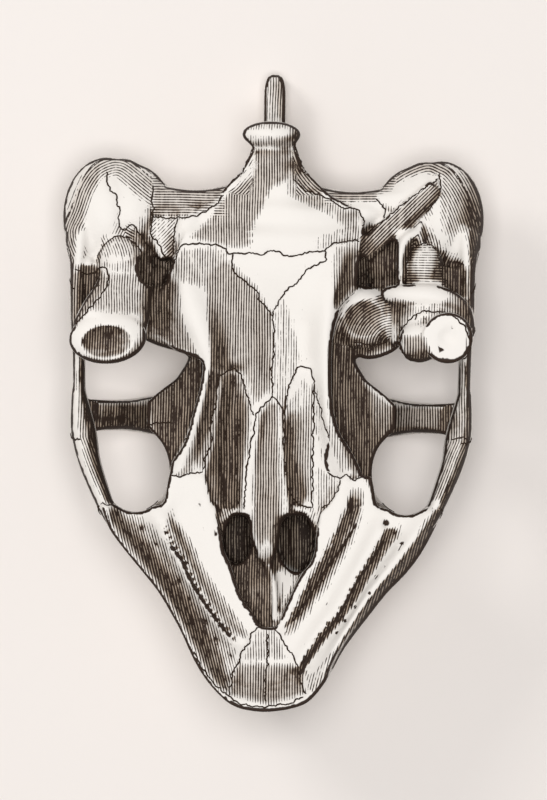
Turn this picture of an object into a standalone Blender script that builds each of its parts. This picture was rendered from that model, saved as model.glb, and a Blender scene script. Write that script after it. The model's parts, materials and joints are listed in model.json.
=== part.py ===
"""Skull (cranium) of a giant tortoise, lying upside down on its roof with the palate up.

One solid of bone: a snout with its biting rim and nose hole, a palate with a vomer ridge, a braincase with
the knob of the neck joint, two ear regions with the cups of the jaw joints, cheek arches round the eye
sockets, and a crest blade that reaches out behind.

Millimetres in the tables, metres in the mesh. +X is the right of the picture, +Y is the back of the
skull, +Z is up, towards the palate. The origin is at the middle of the foot of the bounding box.
"""
import math

import bmesh
import bpy
import numpy as np
from mathutils import Matrix, Vector

MM = 0.001

# Driving sizes
SNOUT_Y = -79.9           # front of the biting rim
CREST_Y = 79.9            # tip of the crest blade
LOBE_X = 42.0             # middle of the lobe behind each ear
CUP_X = 41.0              # middle of each jaw joint
CUP_TOP = 57.0            # height of the jaw joints over the table
RIM_TOP_FRONT = 58.0      # height of the biting rim at the front
RIM_TOP_BACK = 50.0       # and at the cheeks
PLATE_LOW = 36.0          # underside of the palate behind the jaws
RIDGE_TOP = 49.0          # raised edges of the palate
TROUGH_TOP = 42.0         # floor of the wide trough in front of the palate
CONDYLE = (-0.75, 64.3, 36.0)
CREST_THICK = 5.4
JAW_FOOT = 38.0           # the jaws' lines are worked in above this height
REST_CUT = 0.7            # how much of the roof's dome the table takes off

VOXEL = 1.1               # grain of the blended form
SMOOTH_PASSES = 3
TRIANGLES = 8200

# Biting rim seen from below: from the left cheek to the front, and from the front to the right cheek
RIM_LEFT = [(-42.4, -28.8), (-41.2, -32), (-40, -35), (-36.2, -40), (-32, -45),
            (-27.9, -50), (-24.8, -55), (-22, -60), (-19.7, -65), (-17, -70), (-13, -75), (-8, -78.8)]
RIM_RIGHT = [(8.5, -78.2), (12.3, -75), (16, -69.5), (18.3, -65), (21.8, -60), (25.6, -55), (29.5, -50),
             (34.3, -45), (38, -40), (40.7, -35), (42.2, -32), (43.5, -28.8)]
# Inner edges of the jaws round the V, from the back to its point, and the outline of the trough behind it
V_LEFT = [(-13.2, -31), (-12.3, -34.3), (-11.5, -38), (-10.5, -41), (-9, -45), (-7.5, -50), (-5.5, -53.5),
          (-3.5, -56), (-2.2, -58.8)]
V_RIGHT = [(12.2, -31), (11.7, -34), (11, -38), (9, -43), (7, -47), (5, -51.5), (3.5, -55), (2.2, -58.8)]
TROUGH_EDGE = [(-17.5, -14), (-16.3, -21.5), (-15, -25), (-13.5, -28), (-13.1, -32), (12.1, -32),
               (12.6, -30), (14.5, -28.3), (16.5, -25), (17.5, -21), (18, -14)]
# Lines along the jaws: how far each lies below the biting rim's height, and its course
JAW_LINES = [
    (0.0, RIM_LEFT + [(0, -79.2)] + RIM_RIGHT[:2]),
    (5.5, [(-36, -30.5), (-30, -38.5), (-24, -47), (-17, -57), (-10.5, -67), (-9.5, -71)]),
    (2.0, [(-26.5, -33), (-21.5, -42.5), (-17, -51), (-12, -58), (-6, -62.5)]),
    (4.6, [(-23, -31), (-19.5, -39), (-14, -48), (-9, -55.8), (-5.5, -59.5)]),
    (4.0, [(-16.3, -21.5), (-13.5, -28)] + V_LEFT[1:]),
    (9.0, RIM_RIGHT[2:]),
    (0.4, [(13, -73), (17, -64), (24, -52), (31, -43), (36, -36.5), (40.5, -30)]),
    (4.8, [(8, -70.5), (15, -60.5), (19, -56), (25, -45), (30, -36)]),
    (1.6, [(7, -68.5), (13.3, -59), (17, -54.5), (22.8, -44), (28, -34.5)]),
    (4.0, [(5.5, -61), (12, -51), (19.5, -38), (23.5, -27)]),
    (6.2, [(4.6, -59), (9.5, -52), (15, -43), (18.5, -38), (21.8, -28)]),
    (3.6, [(4.2, -58.2), (8, -50.5), (13.5, -39.5), (18.5, -27)]),
    (4.0, V_RIGHT),
    (3.2, [(-3, -61), (0.5, -60.5), (3, -61.5)]),
    (4.4, [(-5, -70), (0, -73), (5, -71)]),
]
# Edges of the palate and the base of the skull from the nose passages back to the neck
EDGE_LEFT = [(-12.4, -31), (-13.3, -28.5), (-15, -25), (-16.3, -21.8), (-25.2, -20.8), (-24.8, -18),
             (-22, -14), (-20.5, -10), (-19.4, -5), (-18, 0), (-17.3, 4), (-17.2, 7.6), (-23.5, 9.6),
             (-27.6, 12.6), (-30, 16), (-31, 20.5), (-29.2, 23.8), (-27.2, 26), (-25.5, 31), (-23.4, 36.5), (-21.5, 41),
             (-19, 45), (-14, 48.8), (-10.8, 52.5), (-8.3, 56), (-6.4, 59.5), (-5.3, 63.5)]
EDGE_RIGHT = [(11.5, -31), (13, -29), (16.3, -25), (17.4, -21.8), (22.8, -20.8), (22.4, -19), (20, -14.5),
              (17, -10), (15.6, -5), (15, 0), (14.9, 8), (15.1, 13), (16, 18), (18.5, 23), (20.8, 26),
              (21.4, 30), (21.8, 35), (22.8, 41.5), (20.5, 45.8), (14.5, 49), (10.5, 52.5), (7.8, 56.5),
              (6, 60), (5.3, 63.5)]
# Lines of x, y and height that the surface between these edges passes through
PALATE_LINES = [
    [(-23.5, -20.5, 47), (-21.5, -14, 48.3), (-18.9, -6, RIDGE_TOP), (-17.3, 0, RIDGE_TOP),
     (-16.2, 8, RIDGE_TOP), (-17.5, 14, RIDGE_TOP), (-20, 20, 48.5), (-21.5, 26, 47), (-22.5, 31, 44)],
    [(20, -20.5, 47), (17.5, -14, 48.3), (15, -8, RIDGE_TOP), (14, -2, RIDGE_TOP), (13.8, 8, RIDGE_TOP),
     (14.1, 18, 48.6), (14.8, 26, 47.4), (16, 33, 45)],
    [(-25.2, -20, 45.6), (-22.4, -14, 46.8), (-20.1, -6, 47.4), (-18, 1, 47.4), (-17.4, 7.5, 47.2)],
    [(22.5, -20, 45.6), (20, -14, 46.6), (16.9, -8, 47.4), (15.4, -2, 47.5), (15.1, 8, 47.5), (16, 17, 46.5)],
    [(-18, -19.5, 45.4), (-16, -15.5, 45.2), (-15, -10, 45), (-14.2, -4, 45), (-13.6, 1, 45.3)],
    [(-8.6, 3.5, 43), (-9.4, -3, 41.6), (-10, -12, 40.8), (-10.4, -22, 40.8), (-9.8, -30.5, 42)],
    [(-2.6, -4.5, 45), (-4, -9, 45.3), (-5, -15, 45.5), (-5.9, -21, 45.8), (-6.1, -30, 46)],
    [(-0.2, -2, 44.2), (-1, -12, 44.2), (-1, -22, 44.6), (-1.2, -30, 45.2)],
    [(2, -4, 45), (2.6, -10, 45.3), (2.9, -16, 45.5), (3.6, -22, 45.8), (3.9, -30, 46)],
    [(4.6, -4, 43.4), (5.2, -10, 42.4), (5.8, -18, 42.0), (6.8, -25, 41.8), (7.5, -30.5, 42.2)],
    [(7.5, 5, 46.2), (10.2, 0, 45.2), (10.6, -10, 44.3), (10.6, -20, 44), (10.4, -29, 44)],
    [(-15.6, -23, 44), (-13.2, -29, 43.6)],
    [(16.6, -23, 44), (12.6, -29.5, 43.8)],
    [(0.3, -1, 43.6), (0, 5, 43), (0.4, 12, 43), (0, 20, 43.8)],
    [(-8.5, 9, 44.8), (-9, 16, 45), (-10, 25, 45.2)],
    [(7, 9, 44.4), (7, 16, 44.6)],
    [(-9, 33, 45.2), (0, 31, 45.6), (12, 33, 45.2)],
    [(-22, 37, 42), (-10, 37, 44.3), (0, 37, 45.2), (13, 37, 44.6), (21, 37.5, 42)],
    [(-19, 43.5, 39), (-9, 44, 40.8), (4, 44, 43.2), (14, 43.5, 42), (21, 43.5, 39.5)],
    [(-13, 49, 37.2), (-5, 50, 39.4), (3, 50, 41), (11, 49.5, 38)],
    [(-8, 56, 35.8), (0, 56, 39.8), (7.6, 56, 35.8)],
    [(-5, 62.5, 35.4), (0, 62.5, 38.4), (5, 62.5, 35.4)],
    [(-25, 11.5, 43.5), (-29, 15.5, 41), (-30.5, 20.5, 40.4), (-28.5, 24.5, 40.6), (-25.6, 30.5, 41)],
    [(18, 22.5, 44), (20.8, 27, 42.4), (21.4, 33, 41.6)],
]
# Half widths of the roof at stations along Y
ROOF = [(-72, 6), (-70, 9), (-60, 14), (-45, 18), (-30, 21.5), (-18, 24), (-10, 27), (-4, 29), (2, 24),
        (8, 20), (14, 14), (22, 9), (35, 5), (50, 3.4), (66, 2.8)]


def smooth_line(points, steps=6):
    """Points of a smooth curve that runs through the given ones."""
    pts = [np.array(p, float) for p in points]
    pts = [2 * pts[0] - pts[1]] + pts + [2 * pts[-1] - pts[-2]]
    line = []
    for a, b, c, d in zip(pts, pts[1:], pts[2:], pts[3:]):
        for k in range(steps):
            t = k / steps
            line.append(0.5 * (2 * b + (c - a) * t + (2 * a - 5 * b + 4 * c - d) * t * t
                               + (3 * b - a - 3 * c + d) * t ** 3))
    line.append(pts[-2])
    return line


def even_line(points, count):
    """The same number of points at even distances along any line."""
    line = np.array(points, float)
    run = np.concatenate([[0], np.cumsum(np.linalg.norm(np.diff(line, axis=0), axis=1))])
    at = np.linspace(0, run[-1], count)
    return np.stack([np.interp(at, run, line[:, k]) for k in range(line.shape[1])], axis=1)


def add_loft(bm, rings):
    """A closed skin over a row of rings with the same number of points."""
    rows = [[bm.verts.new(Vector(p) * MM) for p in ring] for ring in rings]
    count = len(rows[0])
    for one, two in zip(rows, rows[1:]):
        for k in range(count):
            bm.faces.new((one[k], one[(k + 1) % count], two[(k + 1) % count], two[k]))
    bm.faces.new(rows[0][::-1])
    bm.faces.new(rows[-1])


def add_bar(bm, stations, sides=16, square=1.0):
    """A bar of bone: stations of x, y, z, half width and half height; under 1, square flattens its sides."""
    path = smooth_line(stations)
    rings = []
    for k, point in enumerate(path):
        ahead = path[min(k + 1, len(path) - 1)][:3] - path[max(k - 1, 0)][:3]
        along = Vector(ahead).normalized()
        wide = along.cross(Vector((0, 0, 1)))
        wide = wide.normalized() if wide.length > 0.15 else Vector((1, 0, 0))
        high = wide.cross(along)
        middle = Vector(point[:3])
        ring = []
        for s in range(sides):
            a = 2 * math.pi * s / sides
            out = math.copysign(abs(math.cos(a)) ** square, math.cos(a))
            up = math.copysign(abs(math.sin(a)) ** square, math.sin(a))
            ring.append(middle + wide * point[3] * out + high * point[4] * up)
        rings.append(ring)
    add_loft(bm, rings)


def add_block(bm, stations):
    """A block along Y: stations of y, then (half width, z) pairs from the foot to the top."""
    rings = []
    for station in stations:
        y, pairs = station[0], station[1]
        left = [(-x, y, z) for x, z in pairs]
        right = [(x, y, z) for x, z in reversed(pairs)]
        rings.append(left + right)
    add_loft(bm, rings)


def add_ball(bm, middle, radii, turn=(0, 0, 0)):
    """An egg-shaped lump, turned by degrees about X, Y and Z."""
    spin = Matrix.Rotation(math.radians(turn[2]), 4, "Z") @ Matrix.Rotation(math.radians(turn[1]), 4, "Y")
    spin = spin @ Matrix.Rotation(math.radians(turn[0]), 4, "X")
    place = Matrix.Translation(Vector(middle) * MM) @ spin @ Matrix.Diagonal((*(r * MM for r in radii), 1))
    bmesh.ops.create_uvsphere(bm, u_segments=28, v_segments=16, radius=1, matrix=place)


def add_plate(bm, outline, low, high):
    """A flat plate with the given outline between two heights."""
    add_loft(bm, [[(x, y, low) for x, y in outline], [(x, y, high) for x, y in outline]])


def rim_height(y):
    """Height of the biting rim over the table, which falls from the front to the cheeks."""
    back = np.clip((y - SNOUT_Y) / 52, 0, 1)
    return RIM_TOP_FRONT + (RIM_TOP_BACK - RIM_TOP_FRONT) * back


def snout(bm):
    """Beak and nose box: lofted from the roof's outline up to the biting rim."""
    count = 61
    rim = even_line(smooth_line(RIM_LEFT + [(0, SNOUT_Y)] + RIM_RIGHT), count)
    front = [(x, y) for y, x in ROOF[:5]]
    roof_right = [(x, y) for x, y in front]
    roof_left = [(-x, y) for x, y in reversed(front)]
    roof_line = [(-22.5, -24)] + roof_left + [(0, -73.5)] + roof_right + [(22.5, -24)]
    roof = even_line(smooth_line(roof_line), count)
    rings = []
    for share, z in [(0, 1), (0.12, 5), (0.34, 14), (0.58, 26), (0.8, 36), (0.93, 42), (1.0, 47), (1.0, 0)]:
        ring = []
        for a, b in zip(roof, rim):
            x, y = a + (b - a) * share
            ring.append((x, y, z if z else rim_height(y)))
        rings.append(ring)
    add_loft(bm, rings)


def roof(bm):
    """The skull's roof, a low dome that carries the whole skull while it lies on the table."""
    rings = []
    for y, half in smooth_line(ROOF[:-2], 3):
        under = [(half * k / 8, y, 4.5 * abs(k / 8) ** 2.4) for k in range(-8, 9)]
        rings.append([(-half, y, 7.5)] + under + [(half, y, 7.5)])
    add_loft(bm, rings)


def crest(bm):
    """Blade behind the braincase, deep in front and thin towards its tip."""
    half = CREST_THICK / 2
    add_block(bm, [(30, [(4, 1), (4, 18)]), (50, [(half, 0), (half, 15)]), (66, [(half, 0), (half, 14)]),
                   (76, [(half, 0.0), (half, 12.5)]), (CREST_Y - 1, [(half * 0.8, 1.2), (half * 0.8, 10.5)]),
                   (CREST_Y, [(half * 0.4, 2.5), (half * 0.4, 8)])])


def braincase(bm):
    """Box between the palate and the roof, wide at its front foot and at the ears."""
    add_block(bm, [
        (-7, [(27, 4), (21, 18), (17, 30), (15, 38)]),
        (-1, [(26, 4), (20, 18), (17, 30), (15, 38)]),
        (5, [(21, 3), (18, 18), (16, 30), (14, 40)]),
        (12, [(15, 3), (16, 18), (15, 30), (13, 41)]),
        (24, [(12, 3), (17, 18), (18, 30), (15, 42)]),
        (36, [(8, 3), (18, 16), (22, 30), (20, 38.5)]),
        (46, [(5, 3), (12, 14), (17, 28), (13, 38.5)]),
        (52, [(4, 5), (8, 13), (9, 30), (6, 37)]),
    ])


def base_of_skull(bm):
    """Thick floor of the braincase, drawn in like a vase to the neck, and the knob of the neck joint."""
    add_block(bm, [
        (24, [(12, 28), (14, 37)]),
        (32, [(20, 28), (21, 38)]),
        (38, [(21, 28), (21, 38)]),
        (44, [(19, 28), (19, 36)]),
        (49, [(12, 28), (12.4, 35)]),
        (53, [(8.6, 28), (8.8, 34.5)]),
        (57, [(6.4, 29), (7, 34.5)]),
        (63, [(4.8, 30), (5.2, 34.5)]),
    ])
    add_ball(bm, CONDYLE, (7.5, 3.4, 5.6))
    for side in (-1, 1):
        add_ball(bm, (side * 4.2, 56, 25), (2.4, 6, 9))
    add_ball(bm, (0, 58, 16), (6, 6, 4))


def feet(bm):
    """Feet that join the raised edges of the palate to the jaws."""
    for side in (-1, 1):
        foot = [(side * 13.5, -33), (side * 27, -31.5), (side * 25.4, -21), (side * 16, -21)]
        add_loft(bm, [[(x, y, PLATE_LOW) for x, y in foot], [(x, y, rim_height(y)) for x, y in foot]])


def add_relief(bm, left, right, lines, foot, across=44):
    """A block between two edges, whose top passes through lines of known height."""
    left, right = np.array(left, float), np.array(right, float)
    rows = np.arange(left[0, 1], left[-1, 1], 0.8)
    share = np.linspace(0, 1, across)
    start = np.interp(rows, left[:, 1], left[:, 0])[:, None]
    end = np.interp(rows, right[:, 1], right[:, 0])[:, None]
    x = start + (end - start) * share
    y = np.repeat(rows[:, None], across, axis=1)
    plan = np.stack([x.ravel(), y.ravel()], axis=1)
    z = through_lines(plan, [smooth_line(line, 3) for line in lines]).reshape(x.shape)
    rings = []
    for xs, ys, zs in zip(x, y, z):
        top = list(zip(xs, ys, zs))
        rings.append(top + [(xs[-1], ys[0], foot), (xs[0], ys[0], foot)])
    add_loft(bm, rings)


def palate(bm):
    """Palate behind the jaws and base of the skull: troughs, the vomer, raised edges, slopes to the neck."""
    add_relief(bm, EDGE_LEFT, EDGE_RIGHT, PALATE_LINES, PLATE_LOW)


def vomer(bm):
    """Front end of the vomer between the nose passages, and the thin strip that runs on from it."""
    add_bar(bm, [(-1.1, -27, 41.5, 4.4, 4.2), (-1.2, -31, 41.8, 4.2, 4.4), (-1.2, -36, 41.4, 3.8, 4.4),
                 (-0.9, -39.5, 40.6, 2.8, 4), (-0.9, -42.3, 39.6, 1.8, 3)], square=0.6)
    add_bar(bm, [(-1.0, -41, 38.5, 1.5, 4), (0.8, -47, 40.5, 1.1, 3), (1.5, -53, 43, 1.0, 2.6),
                 (1.2, -58, 46, 0.9, 2)])


def ear_side(bm, side):
    """Otic bone, lobe behind the ear, and the wall outside the ear hollow."""
    add_ball(bm, (side * 21, 38, 24), (13, 12, 12))
    add_bar(bm, [(side * 8, 46.5, 26, 6, 11), (side * 20, 46.8, 27, 3.6, 10), (side * 34, 47.5, 27, 5, 12)],
            square=0.7)
    add_ball(bm, (side * LOBE_X, 43.5, 26), (11, 15, 15))
    add_ball(bm, (side * 36, 44, 27), (11, 13, 13.2))
    add_ball(bm, (side * 45.8, 37.5, 30), (6.4, 8.2, 9))
    add_bar(bm, [(side * 48.3, 38, 28, 3.8, 13), (side * 48.7, 28, 31, 2.6, 11),
                 (side * 48.7, 18, 35, 2.0, 9), (side * 48.4, 9, 34, 1.7, 7),
                 (side * 48.2, 0, 32, 1.7, 6), (side * 48, -8, 33, 2.1, 7)])
    wing = [(side * 15, 12.5), (side * 15, -8), (side * 19, -16), (side * 21, -22.5), (side * 27.5, -22.5),
            (side * 27.5, -14), (side * 32, -9), (side * 32, -3), (side * 24, 3), (side * 21.5, 7),
            (side * 19.5, 12.5)]
    wing_top = [(x * 0.97, y, 40.5 - 0.35 * (abs(x) - 15)) for x, y in wing]
    add_loft(bm, [[(x, y, 34) for x, y in wing], wing_top])


def quadrate(bm, side):
    """Branch of the quadrate to the palate, and the thin floor between it and the outer wall."""
    add_bar(bm, [(side * 39, 21, 38, 5, 6), (side * 30, 21.5, 36, 4.6, 4.6), (side * 19, 22, 38, 5, 4)])
    outline = [(side * 50.2, 31.5), (side * 40, 31.5), (side * 39, 24), (side * 44, 17), (side * 50.2, 13)]
    add_plate(bm, outline, 35.5, 39.5)
    add_ball(bm, (side * 28.6, 27, 31), (4.6, 4.6, 4.2))


def cheek(bm, side):
    """Bar under the eye socket, and the deep bar behind it that runs down to the roof."""
    add_bar(bm, [(side * 36, -38, 42, 1.5, 3), (side * 40.2, -31, 42, 2.0, 6),
                 (side * 43.0, -24.5, 40.5, 2.5, 8), (side * 45.4, -18, 38.5, 2.9, 8.5),
                 (side * 46.7, -12, 36, 3.3, 8.5), (side * 47.6, -6.5, 33.5, 2.8, 8), (side * 48.4, 0, 33, 1.8, 6.5)])
    add_bar(bm, [(side * 18, -6, 5, 7, 4), (side * 27, -6.2, 8, 5.4, 5), (side * 36, -6.3, 15, 4.0, 6),
                 (side * 43, -6.4, 23, 3.9, 6.5), (side * 46.4, -6.6, 28.5, 4.2, 4.6)], square=0.7)


def right_ear_forms(bm):
    """Forms that lie open on the right: dish, strut, flange and spike, tongue, and the split joint."""
    add_ball(bm, (22, 44.6, 30), (9, 4.6, 9))
    add_ball(bm, (22.6, 18.4, 38.5), (8.4, 7.6, 4.4))
    add_bar(bm, [(20.3, 11, 36, 1.6, 1.6), (24.5, 10, 37, 1.8, 1.6), (29, 11.4, 37.6, 1.8, 1.6),
                 (31.6, 13.2, 38, 1.4, 1.5)])
    add_ball(bm, (27.5, 33, 33), (5.4, 5.2, 5))
    add_bar(bm, [(31.3, 24, 38, 2.6, 4.5), (31.5, 17, 39, 2.4, 5), (31, 12.4, 38.4, 2, 4)])
    add_bar(bm, [(22.5, 34.8, 37, 2.6, 2.4), (31, 42.8, 39.4, 2.8, 2.6), (40.6, 51.6, 39, 2.3, 2.4)],
            square=0.6)
    add_bar(bm, [(36, 40.2, 38.5, 1.8, 4), (33.0, 38, 39.6, 1.8, 4.6), (31.9, 34, 40, 1.3, 5),
                 (32, 28, 39.6, 1.2, 4)])
    add_bar(bm, [(36.6, 37.8, 41, 1.3, 1.6), (36.7, 42.2, 39.6, 0.9, 2)])
    add_bar(bm, [(38, 35, 27, 5, 7), (38.2, 29, 34, 4.4, 7), (39, 22, 41, 7.4, 6.5), (40, 15.5, 47, 8.2, 6)])
    add_ball(bm, (37.9, 31.1, 39.4), (4.9, 6.6, 6.2))
    add_bar(bm, [(28.6, 24.6, 41, 2, 3), (34, 24.1, 45, 3.1, 4), (41, 23.7, 46, 3.3, 4.6),
                 (46.4, 21, 43, 3, 5), (49, 16.6, 38, 1.8, 4)])
    add_ball(bm, (36.7, 12.7, 49.6), (5.2, 5.2, 5.6))
    add_plate(bm, oval((43.8, 13.8), (6.3, 6.4)), 44, CUP_TOP - 0.6)


def left_joint(bm):
    """Stout pillar and broad oval rim of the left jaw joint."""
    add_bar(bm, [(-37, 37, 28, 6.5, 10), (-36.6, 29, 34, 6.6, 9.5), (-37.8, 22.5, 41, 7.6, 7.5),
                 (-39.6, 17.5, 47, 8.8, 6.4), (-CUP_X, 13.6, CUP_TOP - 5.5, 9.2, 5.8)], square=0.7)
    add_ball(bm, (-CUP_X, 12.8, CUP_TOP - 4), (9.8, 6.5, 4.2), (0, 0, 4))


def left_ear_forms(bm):
    """On the left the ear is covered: dome of the quadrate, rim of the lobe, and a small panel."""
    add_ball(bm, (-38, 31.4, 38.5), (5.9, 7.2, 6.2))
    add_bar(bm, [(-49, 36, 33, 1.6, 5), (-47, 31.8, 36, 1.8, 4), (-44.5, 31.6, 37, 1.6, 3.6)])
    add_bar(bm, [(-27.6, 44, 34.5, 3.2, 3), (-27.6, 38, 36, 3.2, 2.8), (-26.4, 32.8, 37, 2.2, 2.6)],
            square=0.6)
    add_bar(bm, [(-34, 17, 39, 3, 5), (-28, 14.4, 37, 3.4, 5.5), (-21, 12.8, 38, 3.6, 5.5)])
    add_bar(bm, [(-21.4, 33, 36.4, 3.2, 4), (-21.6, 40, 36.6, 4.0, 4), (-20, 45, 35.4, 4, 4)])
    left_joint(bm)


def hollows(bm):
    """Everything that is open: nose, nose passages, eye sockets, brain, ears, and the V in the palate."""
    add_bar(bm, [(0, -86, 22, 7.6, 7.4), (0, -72, 22, 7.4, 7.2), (0, -56, 23, 7.6, 7.4),
                 (0, -40, 24, 7.6, 7.4), (0, -18, 24, 7.6, 7.4)])
    for side in (-1, 1):
        add_ball(bm, (side * 40, -19, 20), (16, 12.5, 14.5))
        add_shaft(bm, (side * 33.8, -20), (8.5, 10.6), -10)
        add_ball(bm, (side * 54, 28.5, 29), (14, 7.4, 7.4))
        add_bar(bm, [(side * 33.5, 30, 14, 6, 14), (side * 34, 12, 14, 8, 14), (side * 35, 3, 20, 9.5, 20),
                     (side * 35.5, 1, 30, 9.5, 20)])
    add_shaft(bm, (-8.2, -37), (3.6, 6.2), 20)
    add_shaft(bm, (6.8, -37.8), (4.6, 7.4), 20)
    outline = V_LEFT + V_RIGHT[::-1]
    add_loft(bm, [[(x, y, 38 + 8 * min(max((-y - 43) / 15, 0), 1)) for x, y in outline],
                  [(x * 1.05, y - 0.2, 64) for x, y in outline]])
    add_plate(bm, TROUGH_EDGE, TROUGH_TOP, 64)
    add_bar(bm, [(0, 75, 23.5, 5.6, 4.8), (0, 58, 23.5, 5.8, 5), (0, 48, 23, 6, 6), (0, 30, 23, 7.4, 7.4),
                 (0, 6, 24, 7.4, 7.6), (0, -20, 24, 7, 7.6)])


def oval(middle, radii, count=28):
    """Points of an oval in plan."""
    turns = [2 * math.pi * k / count for k in range(count)]
    return [(middle[0] + radii[0] * math.cos(a), middle[1] + radii[1] * math.sin(a)) for a in turns]


def add_shaft(bm, middle, radii, low):
    """An upright shaft with an oval outline."""
    add_plate(bm, oval(middle, radii), low, 70)


def through_lines(plan, lines):
    """Values at places in plan, of a surface that passes through lines of x, y and value."""
    total = np.zeros(len(plan))
    weights = np.zeros(len(plan))
    for line in lines:
        near = np.full(len(plan), 1e9)
        value = np.zeros(len(plan))
        for a, b in zip(line, line[1:]):
            run = b[:2] - a[:2]
            away = plan - a[:2]
            t = np.clip(away @ run / max(run @ run, 1e-9), 0, 1)
            gap = ((away - t[:, None] * run) ** 2).sum(axis=1)
            value = np.where(gap < near, a[2] + (b[2] - a[2]) * t, value)
            near = np.minimum(near, gap)
        weight = 1 / (near + 0.2) ** 1.2
        total += weight * value
        weights += weight
    return total / weights


def shape_jaws(mesh):
    """Stretches the top of the snout up or down so that it passes through the lines along the jaws."""
    place = np.empty(len(mesh.vertices) * 3)
    mesh.vertices.foreach_get("co", place)
    place = place.reshape(-1, 3) / MM
    lines = [smooth_line([(x, y, drop) for x, y in line], 3) for drop, line in JAW_LINES]
    rim = rim_height(place[:, 1])
    stretch = (rim - through_lines(place[:, :2], lines) - JAW_FOOT) / (rim - JAW_FOOT)
    above = np.clip(place[:, 2] - JAW_FOOT, 0, None)
    place[:, 2] += above * (stretch - 1)
    mesh.vertices.foreach_set("co", (place * MM).ravel())
    mesh.update()


def bowls(bm):
    """Bowls of the dish and of the jaw joints, and pits by the ears, cut once these are in place."""
    add_ball(bm, (23.2, 18.6, 45.4), (6.9, 6.1, 5.2))
    add_ball(bm, (-CUP_X - 0.2, 11.7, CUP_TOP + 1.6), (7.2, 4.7, 5.4), (0, 0, 3))
    add_ball(bm, (44.0, 13.9, CUP_TOP + 5.2), (5.8, 5.9, 6.6), (0, 6, 0))
    add_ball(bm, (-30.8, 30.8, 42), (2.8, 5, 6.4))
    add_ball(bm, (24.6, 28.2, 40), (3.2, 2.1, 5))


def make_object(name, bm, collection):
    """Puts a bmesh into a new object."""
    mesh = bpy.data.meshes.new(name)
    bmesh.ops.recalc_face_normals(bm, faces=bm.faces)
    bm.to_mesh(mesh)
    bm.free()
    shape = bpy.data.objects.new(name, mesh)
    collection.objects.link(shape)
    return shape


def settle(shape):
    """Replaces an object's mesh by what its modifiers make of it."""
    depsgraph = bpy.context.evaluated_depsgraph_get()
    mesh = bpy.data.meshes.new_from_object(shape.evaluated_get(depsgraph))
    shape.modifiers.clear()
    shape.data = mesh


def blend(shape, voxel, passes=0):
    """Melts overlapping forms into one skin and softens it."""
    remesh = shape.modifiers.new("Blend", "REMESH")
    remesh.mode = "VOXEL"
    remesh.voxel_size = voxel * MM
    if passes:
        soft = shape.modifiers.new("Soften", "SMOOTH")
        soft.factor = 0.5
        soft.iterations = passes
    settle(shape)


def cut(shape, cutter):
    """Takes the cutter's volume out of the shape."""
    step = shape.modifiers.new("Cut", "BOOLEAN")
    step.operation = "DIFFERENCE"
    step.solver = "EXACT"
    step.object = cutter
    settle(shape)


def make_cutter(name, form, collection):
    """One closed cutter from forms that may overlap."""
    bm = bmesh.new()
    form(bm)
    cutter = make_object(name, bm, collection)
    blend(cutter, VOXEL)
    cutter.hide_render = True
    cutter.display_type = "WIRE"
    return cutter


def add_more(shape, form):
    """Adds forms to the settled mesh of a shape, still as loose bodies."""
    bm = bmesh.new()
    bm.from_mesh(shape.data)
    extra = bmesh.new()
    form(extra)
    bmesh.ops.recalc_face_normals(extra, faces=extra.faces)
    spare = bpy.data.meshes.new("extra")
    extra.to_mesh(spare)
    extra.free()
    bm.from_mesh(spare)
    bpy.data.meshes.remove(spare)
    bm.to_mesh(shape.data)
    bm.free()


def jaw_forms(bm):
    """Forms whose top is worked into the grinding surfaces of the jaws."""
    snout(bm)
    feet(bm)


def bone_forms(bm):
    """The other solid forms of the skull, overlapping."""
    roof(bm)
    crest(bm)
    braincase(bm)
    base_of_skull(bm)
    for side in (-1, 1):
        ear_side(bm, side)


def late_forms(bm):
    """Forms that stand in or beside the hollows."""
    palate(bm)
    vomer(bm)
    for side in (-1, 1):
        quadrate(bm, side)
        cheek(bm, side)
    left_ear_forms(bm)
    right_ear_forms(bm)


def bone_material():
    """Dry, cream coloured bone."""
    bone = bpy.data.materials.new("bone")
    bone.use_nodes = True
    shader = bone.node_tree.nodes["Principled BSDF"]
    shader.inputs["Base Color"].default_value = (0.78, 0.69, 0.55, 1)
    shader.inputs["Roughness"].default_value = 0.62
    shader.inputs["Metallic"].default_value = 0.0
    return bone


def thin_out(shape, triangles):
    """Brings the skin down to a number of triangles, most of them where it bends."""
    shape.data.calc_loop_triangles()
    step = shape.modifiers.new("Thin out", "DECIMATE")
    step.ratio = triangles / len(shape.data.loop_triangles)
    settle(shape)


def table_cutter(collection):
    """Everything below the table that the roof rests on."""
    bm = bmesh.new()
    bmesh.ops.create_cube(bm, size=1, matrix=Matrix.Diagonal((0.3, 0.3, 0.02, 1)))
    cutter = make_object("table_cutter", bm, collection)
    cutter.location.z = -0.01
    cutter.hide_render = True
    cutter.display_type = "WIRE"
    return cutter


def main():
    """Builds the skull."""
    for old in list(bpy.data.objects):
        bpy.data.objects.remove(old, do_unlink=True)
    parts = bpy.data.collections.new("tortoise_skull")
    cutters = bpy.data.collections.new("cutters")
    bpy.context.scene.collection.children.link(parts)
    bpy.context.scene.collection.children.link(cutters)

    bm = bmesh.new()
    jaw_forms(bm)
    skull = make_object("cranium", bm, parts)
    blend(skull, VOXEL)
    shape_jaws(skull.data)
    add_more(skull, bone_forms)
    blend(skull, VOXEL)
    cut(skull, make_cutter("hollows_cutter", hollows, cutters))
    add_more(skull, late_forms)
    blend(skull, VOXEL)
    cut(skull, make_cutter("bowls_cutter", bowls, cutters))
    blend(skull, VOXEL, SMOOTH_PASSES)
    thin_out(skull, TRIANGLES)
    skull.data.transform(Matrix.Translation((0, 0, -REST_CUT * MM)))
    bpy.context.view_layer.update()
    cut(skull, table_cutter(cutters))
    skull.data.materials.clear()
    skull.data.materials.append(bone_material())
    skull.data.shade_smooth()
    skull.data.set_sharp_from_angle(angle=math.radians(50))


main()
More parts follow.
